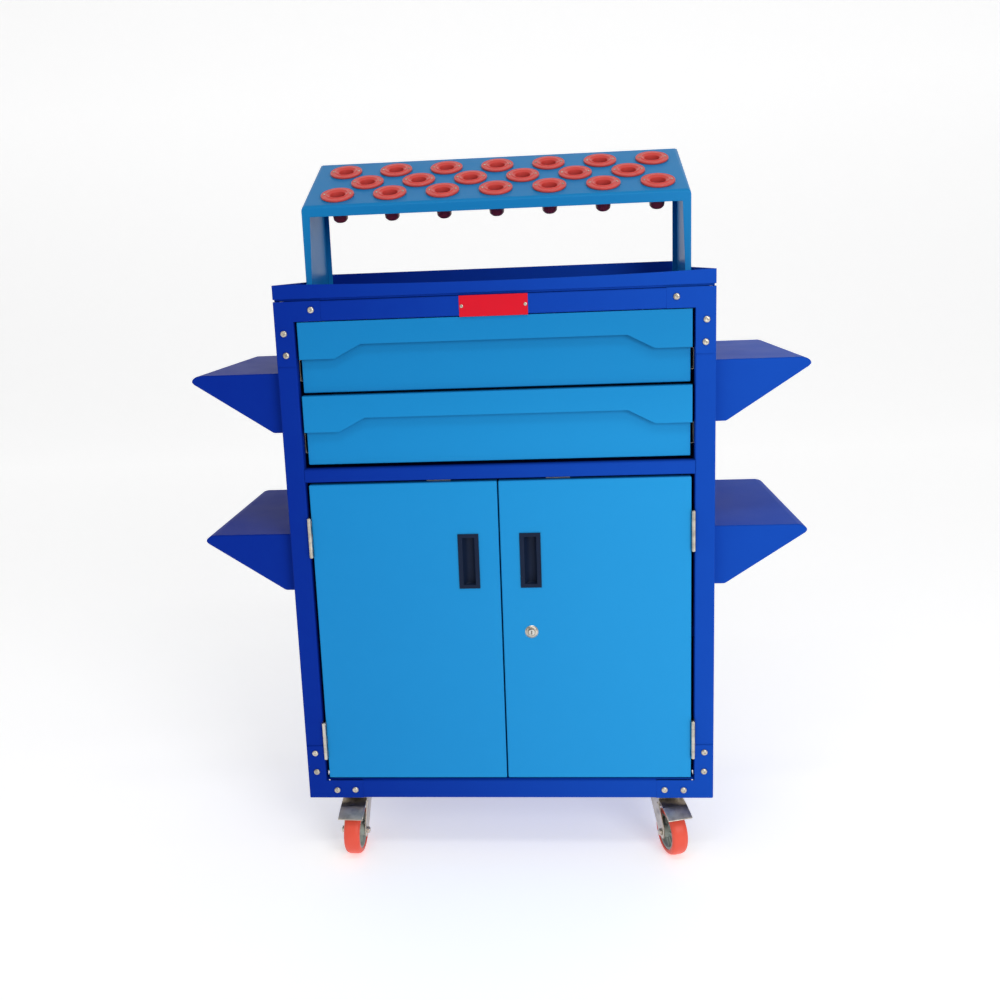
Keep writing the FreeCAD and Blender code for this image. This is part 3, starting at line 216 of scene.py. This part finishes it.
def pot_plastic(name, lit, shaded):
    """Moulded pots: the lit tint above the rack's plate, and painted shade inside the throat and
    under it.
    """
    shader = Shader(name)
    throat = Vector(MOUNTS["front_pot_1"]["pos_m"])
    normal = Vector(MOUNTS["front_pot_1"]["axis"])
    rise = shader.axis("Y") * normal.y + shader.axis("Z") * normal.z
    depth = (normal.dot(throat) + 0.0505) - rise
    tone = shader.blended(lit, tint("CC4240"), shader.noise(30.0, 3.0) * 0.5)
    # Painted shade: the colour darkens with depth below the rack's plate, down the throat and the
    # tail.
    shader.set("Base Color", shader.blended(tone, shaded, depth.between(0.0, 0.022)))
    shader.set("Roughness", shader.noise(60.0, 3.0) * 0.14 + 0.24)
    shader.set("Metallic", 0.0)
    shader.set("Specular IOR Level", 0.4)
    shader.bumped(shader.noise(700.0, 2.0), 0.1, 0.0003)
    return shader.material


MATERIALS = {
    # Each paint has a painted shaded and lit tint; the light blue also has a painted upper shade.
    "dark_blue_paint": powder_coat(
        "dark_blue_paint", tint("082890"), tint("154CB6"), roughness=0.42, specular=0.02
    ),
    "light_blue_paint": powder_coat(
        "light_blue_paint", tint("1486C8"), tint("2298DA"), upper=tint("127AB8"), specular=0.1
    ),
    "zinc_plated_steel": plated("zinc_plated_steel", tint("D2CABC"), 0.22),
    "chrome_plate": plated("chrome_plate", tint("DCDAD4"), 0.1),
    "white_plastic": moulded("white_plastic", tint("D8D8D4"), tint("C8C8C4"), 0.5),
    "red_plate": moulded("red_plate", tint("DC0E28"), tint("C80C22"), 0.36, specular=0.2),
    "red_plastic": pot_plastic("red_plastic", tint("DC4C44"), tint("863038")),
    "navy_plastic": moulded("navy_plastic", tint("16243E"), tint("0E1628"), 0.4, specular=0.12),
    "red_polyurethane": moulded("red_polyurethane", tint("F05C46"), tint("E04A38"), 0.36),
    "grey_plastic": moulded("grey_plastic", tint("A8B0A6"), tint("949C94"), 0.45),
}


# Meshes ---------------------------------------------------------------------------------

def show(name, mesh):
    """A new object at the origin that holds a mesh."""
    obj = bpy.data.objects.new(name, mesh)
    bpy.context.scene.collection.objects.link(obj)
    return obj


def finished(obj, body, slot, *nodes):
    """Give a piece its body and finish, and hide the nodes it stands for."""
    obj.data.materials.clear()
    obj.data.materials.append(MATERIALS[slot])
    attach(obj, body)
    if nodes:
        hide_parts(*nodes)
    return obj


def applied(obj):
    """Turn an object's modifiers into plain mesh."""
    graph = bpy.context.evaluated_depsgraph_get()
    mesh = bpy.data.meshes.new_from_object(obj.evaluated_get(graph), depsgraph=graph)
    mesh.name = obj.name
    obj.modifiers.clear()
    old = obj.data
    obj.data = mesh
    bpy.data.meshes.remove(old)
    return obj


SAME_POINT = 2e-6
NEAR = 0.0005
PARALLEL = 0.98
FLAT = math.radians(0.6)
FOLD = math.radians(25)
SHARP = math.radians(32)


def sheet_width(face, edge):
    """How wide a face is beside one of its straight edges."""
    start = edge.verts[0].co
    run = edge.verts[1].co - start
    length = run.length
    run = run / length
    narrowest = 1.0
    for other in face.edges:
        if other is edge:
            continue
        offset = other.verts[0].co - start
        step = other.verts[1].co - other.verts[0].co
        if step.length < 1e-6 or abs(step.normalized().dot(run)) < PARALLEL:
            continue
        ends = sorted((offset.dot(run), (offset + step).dot(run)))
        if ends[1] < NEAR or ends[0] > length - NEAR:
            continue
        across = (offset - run * offset.dot(run)).length
        if across > 1e-5:
            narrowest = min(narrowest, across)
    return narrowest


def softened(node, largest=0.0022, share=0.36, shape=None, least_edge=0.004, wide=None):
    """A CAD node's own shape, with its pressed and folded edges rounded."""
    mesh = frame["nodes"][node].data.copy()
    work = bmesh.new()
    work.from_mesh(mesh)
    bmesh.ops.remove_doubles(work, verts=work.verts, dist=SAME_POINT)
    bmesh.ops.dissolve_limit(work, angle_limit=FLAT, verts=work.verts, edges=work.edges)
    bmesh.ops.connect_verts_concave(work, faces=work.faces)
    if shape:
        shape(work)
    weights = work.edges.layers.float.new("bevel_weight_edge")
    for edge in work.edges:
        if len(edge.link_faces) != 2 or edge.calc_length() < least_edge:
            continue
        if edge.calc_face_angle_signed(0.0) < FOLD:
            continue
        width = min(sheet_width(face, edge) for face in edge.link_faces)
        edge[weights] = min(1.0, width * share / largest)
        if wide:
            edge[weights] = wide(edge, edge[weights])
    work.to_mesh(mesh)
    work.free()
    obj = show(node + "_skin", mesh)
    bevel = obj.modifiers.new("rounding", "BEVEL")
    bevel.limit_method = "WEIGHT"
    bevel.width = largest
    bevel.segments = 4
    bevel.use_clamp_overlap = False
    bevel.miter_outer = "MITER_ARC"
    bevel.harden_normals = False
    for face in mesh.polygons:
        face.use_smooth = True
    mesh.set_sharp_from_angle(angle=SHARP)
    normals = obj.modifiers.new("normals", "WEIGHTED_NORMAL")
    normals.keep_sharp = True
    normals.weight = 80
    return applied(obj)


def soften(node, **options):
    """Replace a node with its rounded shape."""
    return finished(softened(node, **options), BODY_OF_NODE[node], SLOT_OF_NODE[node], node)


FILLET_STEPS = 5


def filleted(points, radii):
    """A profile with its corners rounded by the given radii."""
    outline = []
    for index, (point, radius) in enumerate(zip(points, radii)):
        here = Vector(point)
        if radius == 0 or index in (0, len(points) - 1):
            outline.append(here)
            continue
        back = Vector(points[index - 1]) - here
        ahead = Vector(points[index + 1]) - here
        half = back.angle(ahead) / 2
        reach = min(radius / math.tan(half), back.length * 0.48, ahead.length * 0.48)
        start = here + back.normalized() * reach
        end = here + ahead.normalized() * reach
        for step in range(FILLET_STEPS + 1):
            share = step / FILLET_STEPS
            outline.append(
                start * (1 - share) ** 2 + here * (2 * share * (1 - share)) + end * share**2
            )
    return outline


def lathed(name, profile, segments=48, closed=True):
    """A mesh turned about Z from a profile of radius and height."""
    work = bmesh.new()
    rings = []
    for radius, height in profile:
        if radius < 1e-7:
            rings.append([work.verts.new((0, 0, height))])
            continue
        ring = []
        for step in range(segments):
            turn = 2 * math.pi * step / segments
            ring.append(work.verts.new((radius * math.cos(turn), radius * math.sin(turn), height)))
        rings.append(ring)
    pairs = list(zip(rings, rings[1:]))
    if closed:
        pairs.append((rings[-1], rings[0]))
    for lower, upper in pairs:
        for step in range(segments):
            following = (step + 1) % segments
            if len(lower) == 1 and len(upper) == 1:
                break
            if len(lower) == 1:
                corners = [lower[0], upper[following], upper[step]]
            elif len(upper) == 1:
                corners = [lower[step], lower[following], upper[0]]
            else:
                corners = [lower[step], lower[following], upper[following], upper[step]]
            work.faces.new(corners)
    bmesh.ops.recalc_face_normals(work, faces=work.faces)
    mesh = bpy.data.meshes.new(name)
    for face in work.faces:
        face.smooth = True
    work.to_mesh(mesh)
    work.free()
    mesh.set_sharp_from_angle(angle=math.radians(50))
    return mesh


def turned(name, corners, segments, lift=0.0):
    """A mesh turned about Z from corners of radius, height and rounding, in millimetres."""
    profile = [(radius / 1000, (height + lift) / 1000) for radius, height, _ in corners]
    radii = [rounding / 1000 for _, _, rounding in corners]
    outline = filleted(profile, radii)
    if outline[0] == outline[-1]:
        outline.pop()
    return lathed(name, outline, segments)


def merged(name, meshes):
    """Several meshes as one."""
    work = bmesh.new()
    for mesh in meshes:
        work.from_mesh(mesh)
    whole = bpy.data.meshes.new(name)
    work.to_mesh(whole)
    work.free()
    return whole


def repeater():
    """A node group that sets a copy of an object on each point, facing its aim."""
    group = bpy.data.node_groups.new("copies_on_points", "GeometryNodeTree")
    face = group.interface
    face.new_socket("Geometry", in_out="INPUT", socket_type="NodeSocketGeometry")
    face.new_socket("Copied object", in_out="INPUT", socket_type="NodeSocketObject")
    face.new_socket("Finish", in_out="INPUT", socket_type="NodeSocketMaterial")
    face.new_socket("Geometry", in_out="OUTPUT", socket_type="NodeSocketGeometry")
    nodes = group.nodes
    entry = nodes.new("NodeGroupInput")
    leave = nodes.new("NodeGroupOutput")
    info = nodes.new("GeometryNodeObjectInfo")
    aim = nodes.new("GeometryNodeInputNamedAttribute")
    aim.data_type = "FLOAT_VECTOR"
    aim.inputs["Name"].default_value = "aim"
    turn = nodes.new("FunctionNodeAlignRotationToVector")
    turn.axis = "Z"
    copies = nodes.new("GeometryNodeInstanceOnPoints")
    real = nodes.new("GeometryNodeRealizeInstances")
    finish = nodes.new("GeometryNodeSetMaterial")
    link = group.links.new
    link(entry.outputs["Geometry"], copies.inputs["Points"])
    link(entry.outputs["Copied object"], info.inputs["Object"])
    link(info.outputs["Geometry"], copies.inputs["Instance"])
    link(aim.outputs["Attribute"], turn.inputs["Vector"])
    link(turn.outputs["Rotation"], copies.inputs["Rotation"])
    link(copies.outputs["Instances"], real.inputs["Geometry"])
    link(real.outputs["Geometry"], finish.inputs["Geometry"])
    link(entry.outputs["Finish"], finish.inputs["Material"])
    link(finish.outputs["Geometry"], leave.inputs["Geometry"])
    return group


REPEATER = repeater()


def repeated(name, master, spots, slot):
    """Copies of a mesh on spots of position and direction, as one plain mesh."""
    points = bpy.data.meshes.new(name + "_points")
    points.from_pydata([tuple(place) for place, _ in spots], [], [])
    attribute = points.attributes.new("aim", "FLOAT_VECTOR", "POINT")
    for entry, (_, direction) in zip(attribute.data, spots):
        entry.vector = direction
    source = bpy.data.objects.new(name + "_source", master)
    bpy.context.scene.collection.objects.link(source)
    obj = show(name, points)
    modifier = obj.modifiers.new("copies", "NODES")
    modifier.node_group = REPEATER
    keys = {
        item.name: item.identifier
        for item in REPEATER.interface.items_tree
        if item.in_out == "INPUT"
    }
    modifier[keys["Copied object"]] = source
    modifier[keys["Finish"]] = MATERIALS[slot]
    applied(obj)
    bpy.data.objects.remove(source)
    return obj


# Rounded CAD shapes ---------------------------------------------------------------------

RIM_SHEET = 0.003
SAG_CUTS = range(-7, 8)
SAG_CUT_SPACING = 0.05
SAG_MIDDLE = 0.03
SAG_HALF_LENGTH = 0.37
SAG_DEPTH = 0.0058


def sagging(work):
    """The tray's front rim dips a little between its ends."""
    for step in SAG_CUTS:
        bmesh.ops.bisect_plane(
            work,
            geom=work.verts[:] + work.edges[:] + work.faces[:],
            plane_co=(step * SAG_CUT_SPACING, 0, 0),
            plane_no=(1, 0, 0),
        )
    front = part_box("top_tray")[0].y
    rim_top = max(v.co.z for v in work.verts if v.co.y < front + NEAR)
    for vert in work.verts:
        if vert.co.y < front + RIM_SHEET and vert.co.z > rim_top - NEAR:
            reach = (vert.co.x - SAG_MIDDLE) / SAG_HALF_LENGTH
            vert.co.z -= SAG_DEPTH * max(0.0, 1 - reach * reach)


ROUNDED = {
    "front_left_post": 0.0025,
    "front_right_post": 0.0025,
    "rear_posts": 0.0025,
    "top_rail": 0.0035,
    "middle_rail": 0.004,
    "bottom_rail": 0.003,
    "corner_gussets": 0.0007,
    "left_side_panel": 0.0006,
    "right_side_panel": 0.0006,
    "back_panel": 0.0006,
    "floor_panel": 0.0006,
    "divider_panel": 0.0006,
    "cupboard_shelf": 0.002,
    "base_channels": 0.002,
    "fixed_runners": 0.0012,
    "drawer_1_box": 0.0015,
    "drawer_2_box": 0.0015,
    "drawer_1_runners": 0.0012,
    "drawer_2_runners": 0.0012,
    "drawer_1_front": 0.0022,
    "drawer_2_front": 0.0022,
    "left_door_panel": 0.0024,
    "right_door_panel": 0.0024,
    "left_door_pull": 0.0012,
    "right_door_pull": 0.0012,
    "left_door_hinge_leaves": 0.0004,
    "right_door_hinge_leaves": 0.0004,
    "hinge_fixed_leaves": 0.0004,
    "magnetic_catches": 0.001,
    "upper_left_bracket": 0.003,
    "upper_right_bracket": 0.003,
    "lower_left_bracket": 0.003,
    "lower_right_bracket": 0.003,
    "name_plate": 0.0005,
    "lock_cam": 0.0008,
    "caster_top_plates": 0.001,
}
for node_name, radius in ROUNDED.items():
    soften(node_name, largest=radius)
soften("top_tray", largest=0.003, shape=sagging)


RACK_PLATE_LOW = 1.28
RACK_FRONT_BEND_Y = 0.02
LONG_EDGE = 0.5
FRONT_BEND_WEIGHT = 0.6
PLAIN_EDGE_WEIGHT = 0.2


def rack_bends(edge, weight):
    """The rack's own bends are wider than its other edges."""
    ends = [vert.co for vert in edge.verts]
    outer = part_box("rack_bridge")[1].x - NEAR
    level = all(end.z > RACK_PLATE_LOW for end in ends)
    if level and all(abs(end.x) > outer for end in ends):
        return 1.0
    if level and edge.calc_length() > LONG_EDGE and ends[0].y < RACK_FRONT_BEND_Y:
        return FRONT_BEND_WEIGHT
    return min(weight, PLAIN_EDGE_WEIGHT)


soften("rack_bridge", largest=0.0075, wide=rack_bends)
for corner in CASTERS:
    soften(corner + "_caster_fork", largest=0.0015)


# Tool pots ------------------------------------------------------------------------------

THROAT_DEPTH = 47.0


def pot_mesh():
    """One pot: rolled flange, raised ring, taper seat and tail. Its throat is at Z = 0.

    The heights here are above the rack's plate.
    """
    corners = [
        (9.5, -53.5, 0.0),
        (9.5, -40.2, 0.0),
        (15.875, 3.2, 0.9),
        (20.2, 5.2, 1.0),
        (21.9, 6.2, 1.2),
        (24.2, 4.6, 1.2),
        (30.6, 4.7, 0.4),
        (31.2, 4.2, 0.4),
        (31.8, 4.8, 0.6),
        (33.6, 5.0, 1.2),
        (34.25, 2.4, 1.8),
        (33.2, 0.1, 0.8),
        (23.2, 0.1, 0.3),
        (23.2, -4.0, 1.0),
        (15.6, -38.5, 2.0),
        (14.75, -49.0, 3.0),
        (11.0, -53.5, 2.0),
        (9.5, -53.5, 0.0),
    ]
    return turned("pot", corners, 56, THROAT_DEPTH)


def pot_spots():
    """Where each pot's throat is, and which way it opens."""
    spots = []
    for name, mount in MOUNTS.items():
        if "_pot_" in name:
            spots.append((Vector(mount["pos_m"]), Vector(mount["axis"])))
    return spots


pots = repeated("tool_pots_moulded", pot_mesh(), pot_spots(), "red_plastic")
finished(pots, "cabinet", "red_plastic", "tool_pots")


DOME_STEPS = 8


def domed_head(radius, height, recess):
    """A domed screw head with a hollow drive, standing on Z = 0."""
    profile = [(0.0, height * 0.55), (recess * 0.86, height * 0.55), (recess, height * 0.97)]
    for step in range(DOME_STEPS + 1):
        turn = math.radians(90 * step / DOME_STEPS)
        reach = recess + 0.0002 + (radius - recess - 0.0002) * math.sin(turn)
        profile.append((reach, height * (0.12 + 0.88 * math.cos(turn))))
    profile.append((radius, 0.0))
    profile.append((0.0, 0.0))
    return lathed("head", profile, 20, closed=False)


def head_spots(node, direction, raise_by=0.0):
    """The centre of each separate solid of a node of screws, on its head's seat."""
    mesh = frame["nodes"][node].data
    work = bmesh.new()
    work.from_mesh(mesh)
    bmesh.ops.remove_doubles(work, verts=work.verts, dist=SAME_POINT)
    left = set(work.verts)
    aim = Vector(direction).normalized()
    spots = []
    while left:
        stack = [left.pop()]
        solid = []
        while stack:
            vert = stack.pop()
            solid.append(vert)
            for edge in vert.link_edges:
                other = edge.other_vert(vert)
                if other in left:
                    left.remove(other)
                    stack.append(other)
        top = max(vert.co.dot(aim) for vert in solid)
        middle = sum((vert.co for vert in solid), Vector()) / len(solid)
        middle = middle - aim * middle.dot(aim)
        spots.append((middle + aim * (top + raise_by), aim))
    work.free()
    return spots


def screws(node, direction, radius, height, recess):
    """Screw heads that stand for a node of screws."""
    slot = "zinc_plated_steel"
    spots = head_spots(node, direction, -height)
    obj = repeated(node + "_heads", domed_head(radius, height, recess), spots, slot)
    return finished(obj, "cabinet", slot, node)


OUT_OF_PLATE = Vector(MOUNTS["front_pot_1"]["axis"])
HEADS = (
    # node, direction, head radius, head height, drive radius
    ("frame_screws", (0, -1, 0), 0.0063, 0.0034, 0.0021),
    ("name_plate_rivets", (0, -1, 0), 0.0032, 0.0014, 0.0006),
    ("caster_bolts", (0, 0, -1), 0.007, 0.0036, 0.0024),
    ("pot_screws", OUT_OF_PLATE, 0.0024, 0.0012, 0.0007),
)
for head in HEADS:
    screws(*head)


# Casters --------------------------------------------------------------------------------

def tyre_mesh():
    """A smooth polyurethane tread with rounded shoulders."""
    corners = [
        (35.0, -15.0, 0.0),
        (36.5, -16.0, 1.0),
        (41.0, -16.0, 4.0),
        (44.5, -12.8, 6.0),
        (46.0, -7.0, 8.0),
        (46.0, 7.0, 8.0),
        (44.5, 12.8, 6.0),
        (41.0, 16.0, 4.0),
        (36.5, 16.0, 1.0),
        (35.0, 15.0, 0.0),
    ]
    return turned("tyre", corners, 96)


RIBS = 8
RIB_SIZE = (0.0185, 0.0022, 0.0236)
RIB_MIDDLE = (0.0213, 0, 0)
RIB_ROUNDING = 0.0005


def hub_mesh():
    """A moulded wheel centre: rim, dished web, ribs and boss."""
    corners = [
        (4.05, -19.4, 0.0),
        (10.5, -19.4, 1.2),
        (12.5, -9.0, 2.0),
        (29.0, -6.2, 3.0),
        (31.2, -14.0, 1.0),
        (34.9, -14.0, 0.0),
        (34.9, 14.0, 0.0),
        (31.2, 14.0, 1.0),
        (29.0, 6.2, 3.0),
        (12.5, 9.0, 2.0),
        (10.5, 19.4, 1.2),
        (4.05, 19.4, 0.0),
    ]
    parts = [turned("hub", corners, 72)]
    for step in range(RIBS):
        rib = bpy.data.meshes.new("rib")
        work = bmesh.new()
        bmesh.ops.create_cube(work, size=1.0)
        bmesh.ops.scale(work, verts=work.verts, vec=RIB_SIZE)
        bmesh.ops.translate(work, verts=work.verts, vec=RIB_MIDDLE)
        turn = Matrix.Rotation(math.radians(360 / RIBS * step), 3, "Z")
        bmesh.ops.rotate(work, verts=work.verts, matrix=turn)
        edges = work.edges[:]
        bmesh.ops.bevel(work, geom=edges, offset=RIB_ROUNDING, segments=2, affect="EDGES")
        work.to_mesh(rib)
        work.free()
        parts.append(rib)
    return merged("hub", parts)


for corner in CASTERS:
    roll = JOINTS[corner + "_roll"]
    axle = [(Vector(roll["pos_m"]), Vector(roll["axis"]))]
    tyre = repeated(corner + "_tread", tyre_mesh(), axle, "red_polyurethane")
    finished(tyre, corner + "_wheel", "red_polyurethane", corner + "_caster_tyre")
    hub = repeated(corner + "_wheel_centre", hub_mesh(), axle, "grey_plastic")
    finished(hub, corner + "_wheel", "grey_plastic", corner + "_caster_hub")
for corner in ("front_left", "front_right"):
    soften(corner + "_brake_pedal", largest=0.0012)


# Lock -----------------------------------------------------------------------------------

def lock_face():
    """The lock's turned body: a domed flange with a rim around the plug, then the barrel."""
    corners = [
        (6.15, 2.2, 0.3),
        (7.4, 3.0, 0.5),
        (10.2, 2.3, 2.0),
        (12.3, 0.5, 1.0),
        (12.8, 0.0, 0.0),
        (9.5, 0.0, 0.0),
        (9.5, -14.0, 0.5),
        (6.15, -14.0, 0.0),
        (6.15, 2.2, 0.0),
    ]
    return turned("lock_face", corners, 48)


LOCK_RIM_HEIGHT = 0.003
low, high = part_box("lock_housing")
spot = Vector(((low.x + high.x) / 2, low.y + LOCK_RIM_HEIGHT, (low.z + high.z) / 2))
slot_name = SLOT_OF_NODE["lock_housing"]
lock = repeated("lock_turned", lock_face(), [(spot, Vector((0, -1, 0)))], slot_name)
finished(lock, BODY_OF_NODE["lock_housing"], slot_name, "lock_housing")


# Remaining CAD nodes --------------------------------------------------------------------

for node_name, node in frame["nodes"].items():
    node.data.materials.clear()
    node.data.materials.append(MATERIALS[SLOT_OF_NODE[node_name]])
    for face in node.data.polygons:
        face.use_smooth = False


# Stage ----------------------------------------------------------------------------------

FLOOR_HALF_WIDTH = 9.0
FLOOR_FRONT = -3.6
SWEEP_START = 4.0
SWEEP_RADIUS = 2.5
SWEEP_STEPS = 12
WALL_TOP = 9.0


def sweep_profile():
    """Y and Z along the studio paper: floor, quarter turn and wall."""
    profile = [(FLOOR_FRONT, 0.0), (SWEEP_START, 0.0)]
    for step in range(1, SWEEP_STEPS + 1):
        turn = math.radians(90 * step / SWEEP_STEPS)
        along = SWEEP_START + SWEEP_RADIUS * math.sin(turn)
        profile.append((along, SWEEP_RADIUS - SWEEP_RADIUS * math.cos(turn)))
    profile.append((SWEEP_START + SWEEP_RADIUS, WALL_TOP))
    return profile


def studio():
    """A pale floor and wall, and soft lights."""
    mesh = bpy.data.meshes.new("floor")
    work = bmesh.new()
    profile = sweep_profile()
    left = [work.verts.new((-FLOOR_HALF_WIDTH, y, z)) for y, z in profile]
    right = [work.verts.new((FLOOR_HALF_WIDTH, y, z)) for y, z in profile]
    for index in range(len(profile) - 1):
        corners = (left[index], right[index], right[index + 1], left[index + 1])
        work.faces.new(corners).smooth = True
    work.to_mesh(mesh)
    work.free()
    floor = show("studio_floor", mesh)
    shader = Shader("studio_paper")
    shader.set("Base Color", (0.85, 0.85, 0.85, 1.0))
    shader.set("Roughness", 0.9)
    shader.set("Specular IOR Level", 0.0)
    shader.set("Emission Color", (1.0, 1.0, 1.0, 1.0))
    shader.set("Emission Strength", 0.44)
    floor.data.materials.append(shader.material)
    world = bpy.data.worlds.new("studio")
    bpy.context.scene.world = world
    world.use_nodes = True
    background = world.node_tree.nodes["Background"]
    background.inputs["Color"].default_value = (1.0, 1.0, 1.0, 1.0)
    background.inputs["Strength"].default_value = 0.42
    lights = (
        # name, place, target, width and height, watts
        ("key", (1.9, -3.3, 2.0), (0.0, 0.0, 0.7), (1.6, 1.6), 50.0),
        ("fill", (-2.4, -3.0, 1.6), (0.0, 0.0, 0.6), (1.8, 1.8), 8.0),
        ("strip", (0.3, -1.5, 3.3), (0.0, 0.0, 1.0), (2.6, 0.2), 16.0),
    )
    for name, place, target, size, power in lights:
        data = bpy.data.lights.new(name, "AREA")
        data.shape = "RECTANGLE"
        data.size, data.size_y = size
        data.energy = power
        lamp = bpy.data.objects.new(name, data)
        bpy.context.scene.collection.objects.link(lamp)
        aim = (Vector(target) - Vector(place)).to_track_quat("-Z", "Y")
        lamp.location = place
        lamp.rotation_euler = aim.to_euler()


def camera():
    """The camera, a little right of the middle and tilted down."""
    yaw = math.radians(-4.564)
    pitch = math.radians(-11.088)
    roll = math.radians(-2.318)
    ahead = Vector(
        (math.sin(yaw) * math.cos(pitch), math.cos(yaw) * math.cos(pitch), math.sin(pitch))
    )
    level = Vector((math.cos(yaw), -math.sin(yaw), 0.0))
    upright = level.cross(ahead)
    right = level * math.cos(roll) + upright * math.sin(roll)
    up = upright * math.cos(roll) - level * math.sin(roll)
    data = bpy.data.cameras.new("camera")
    data.sensor_width = 36.0
    data.lens = 36.46
    data.shift_x = 0.0295
    data.shift_y = -0.0399
    obj = bpy.data.objects.new("camera", data)
    bpy.context.scene.collection.objects.link(obj)
    turn = Matrix((right, up, -ahead)).transposed().to_4x4()
    obj.matrix_world = Matrix.Translation((0.0984, -2.0656, 1.1704)) @ turn
    bpy.context.scene.camera = obj


studio()
camera()
bpy.context.scene.view_settings.view_transform = "Standard"
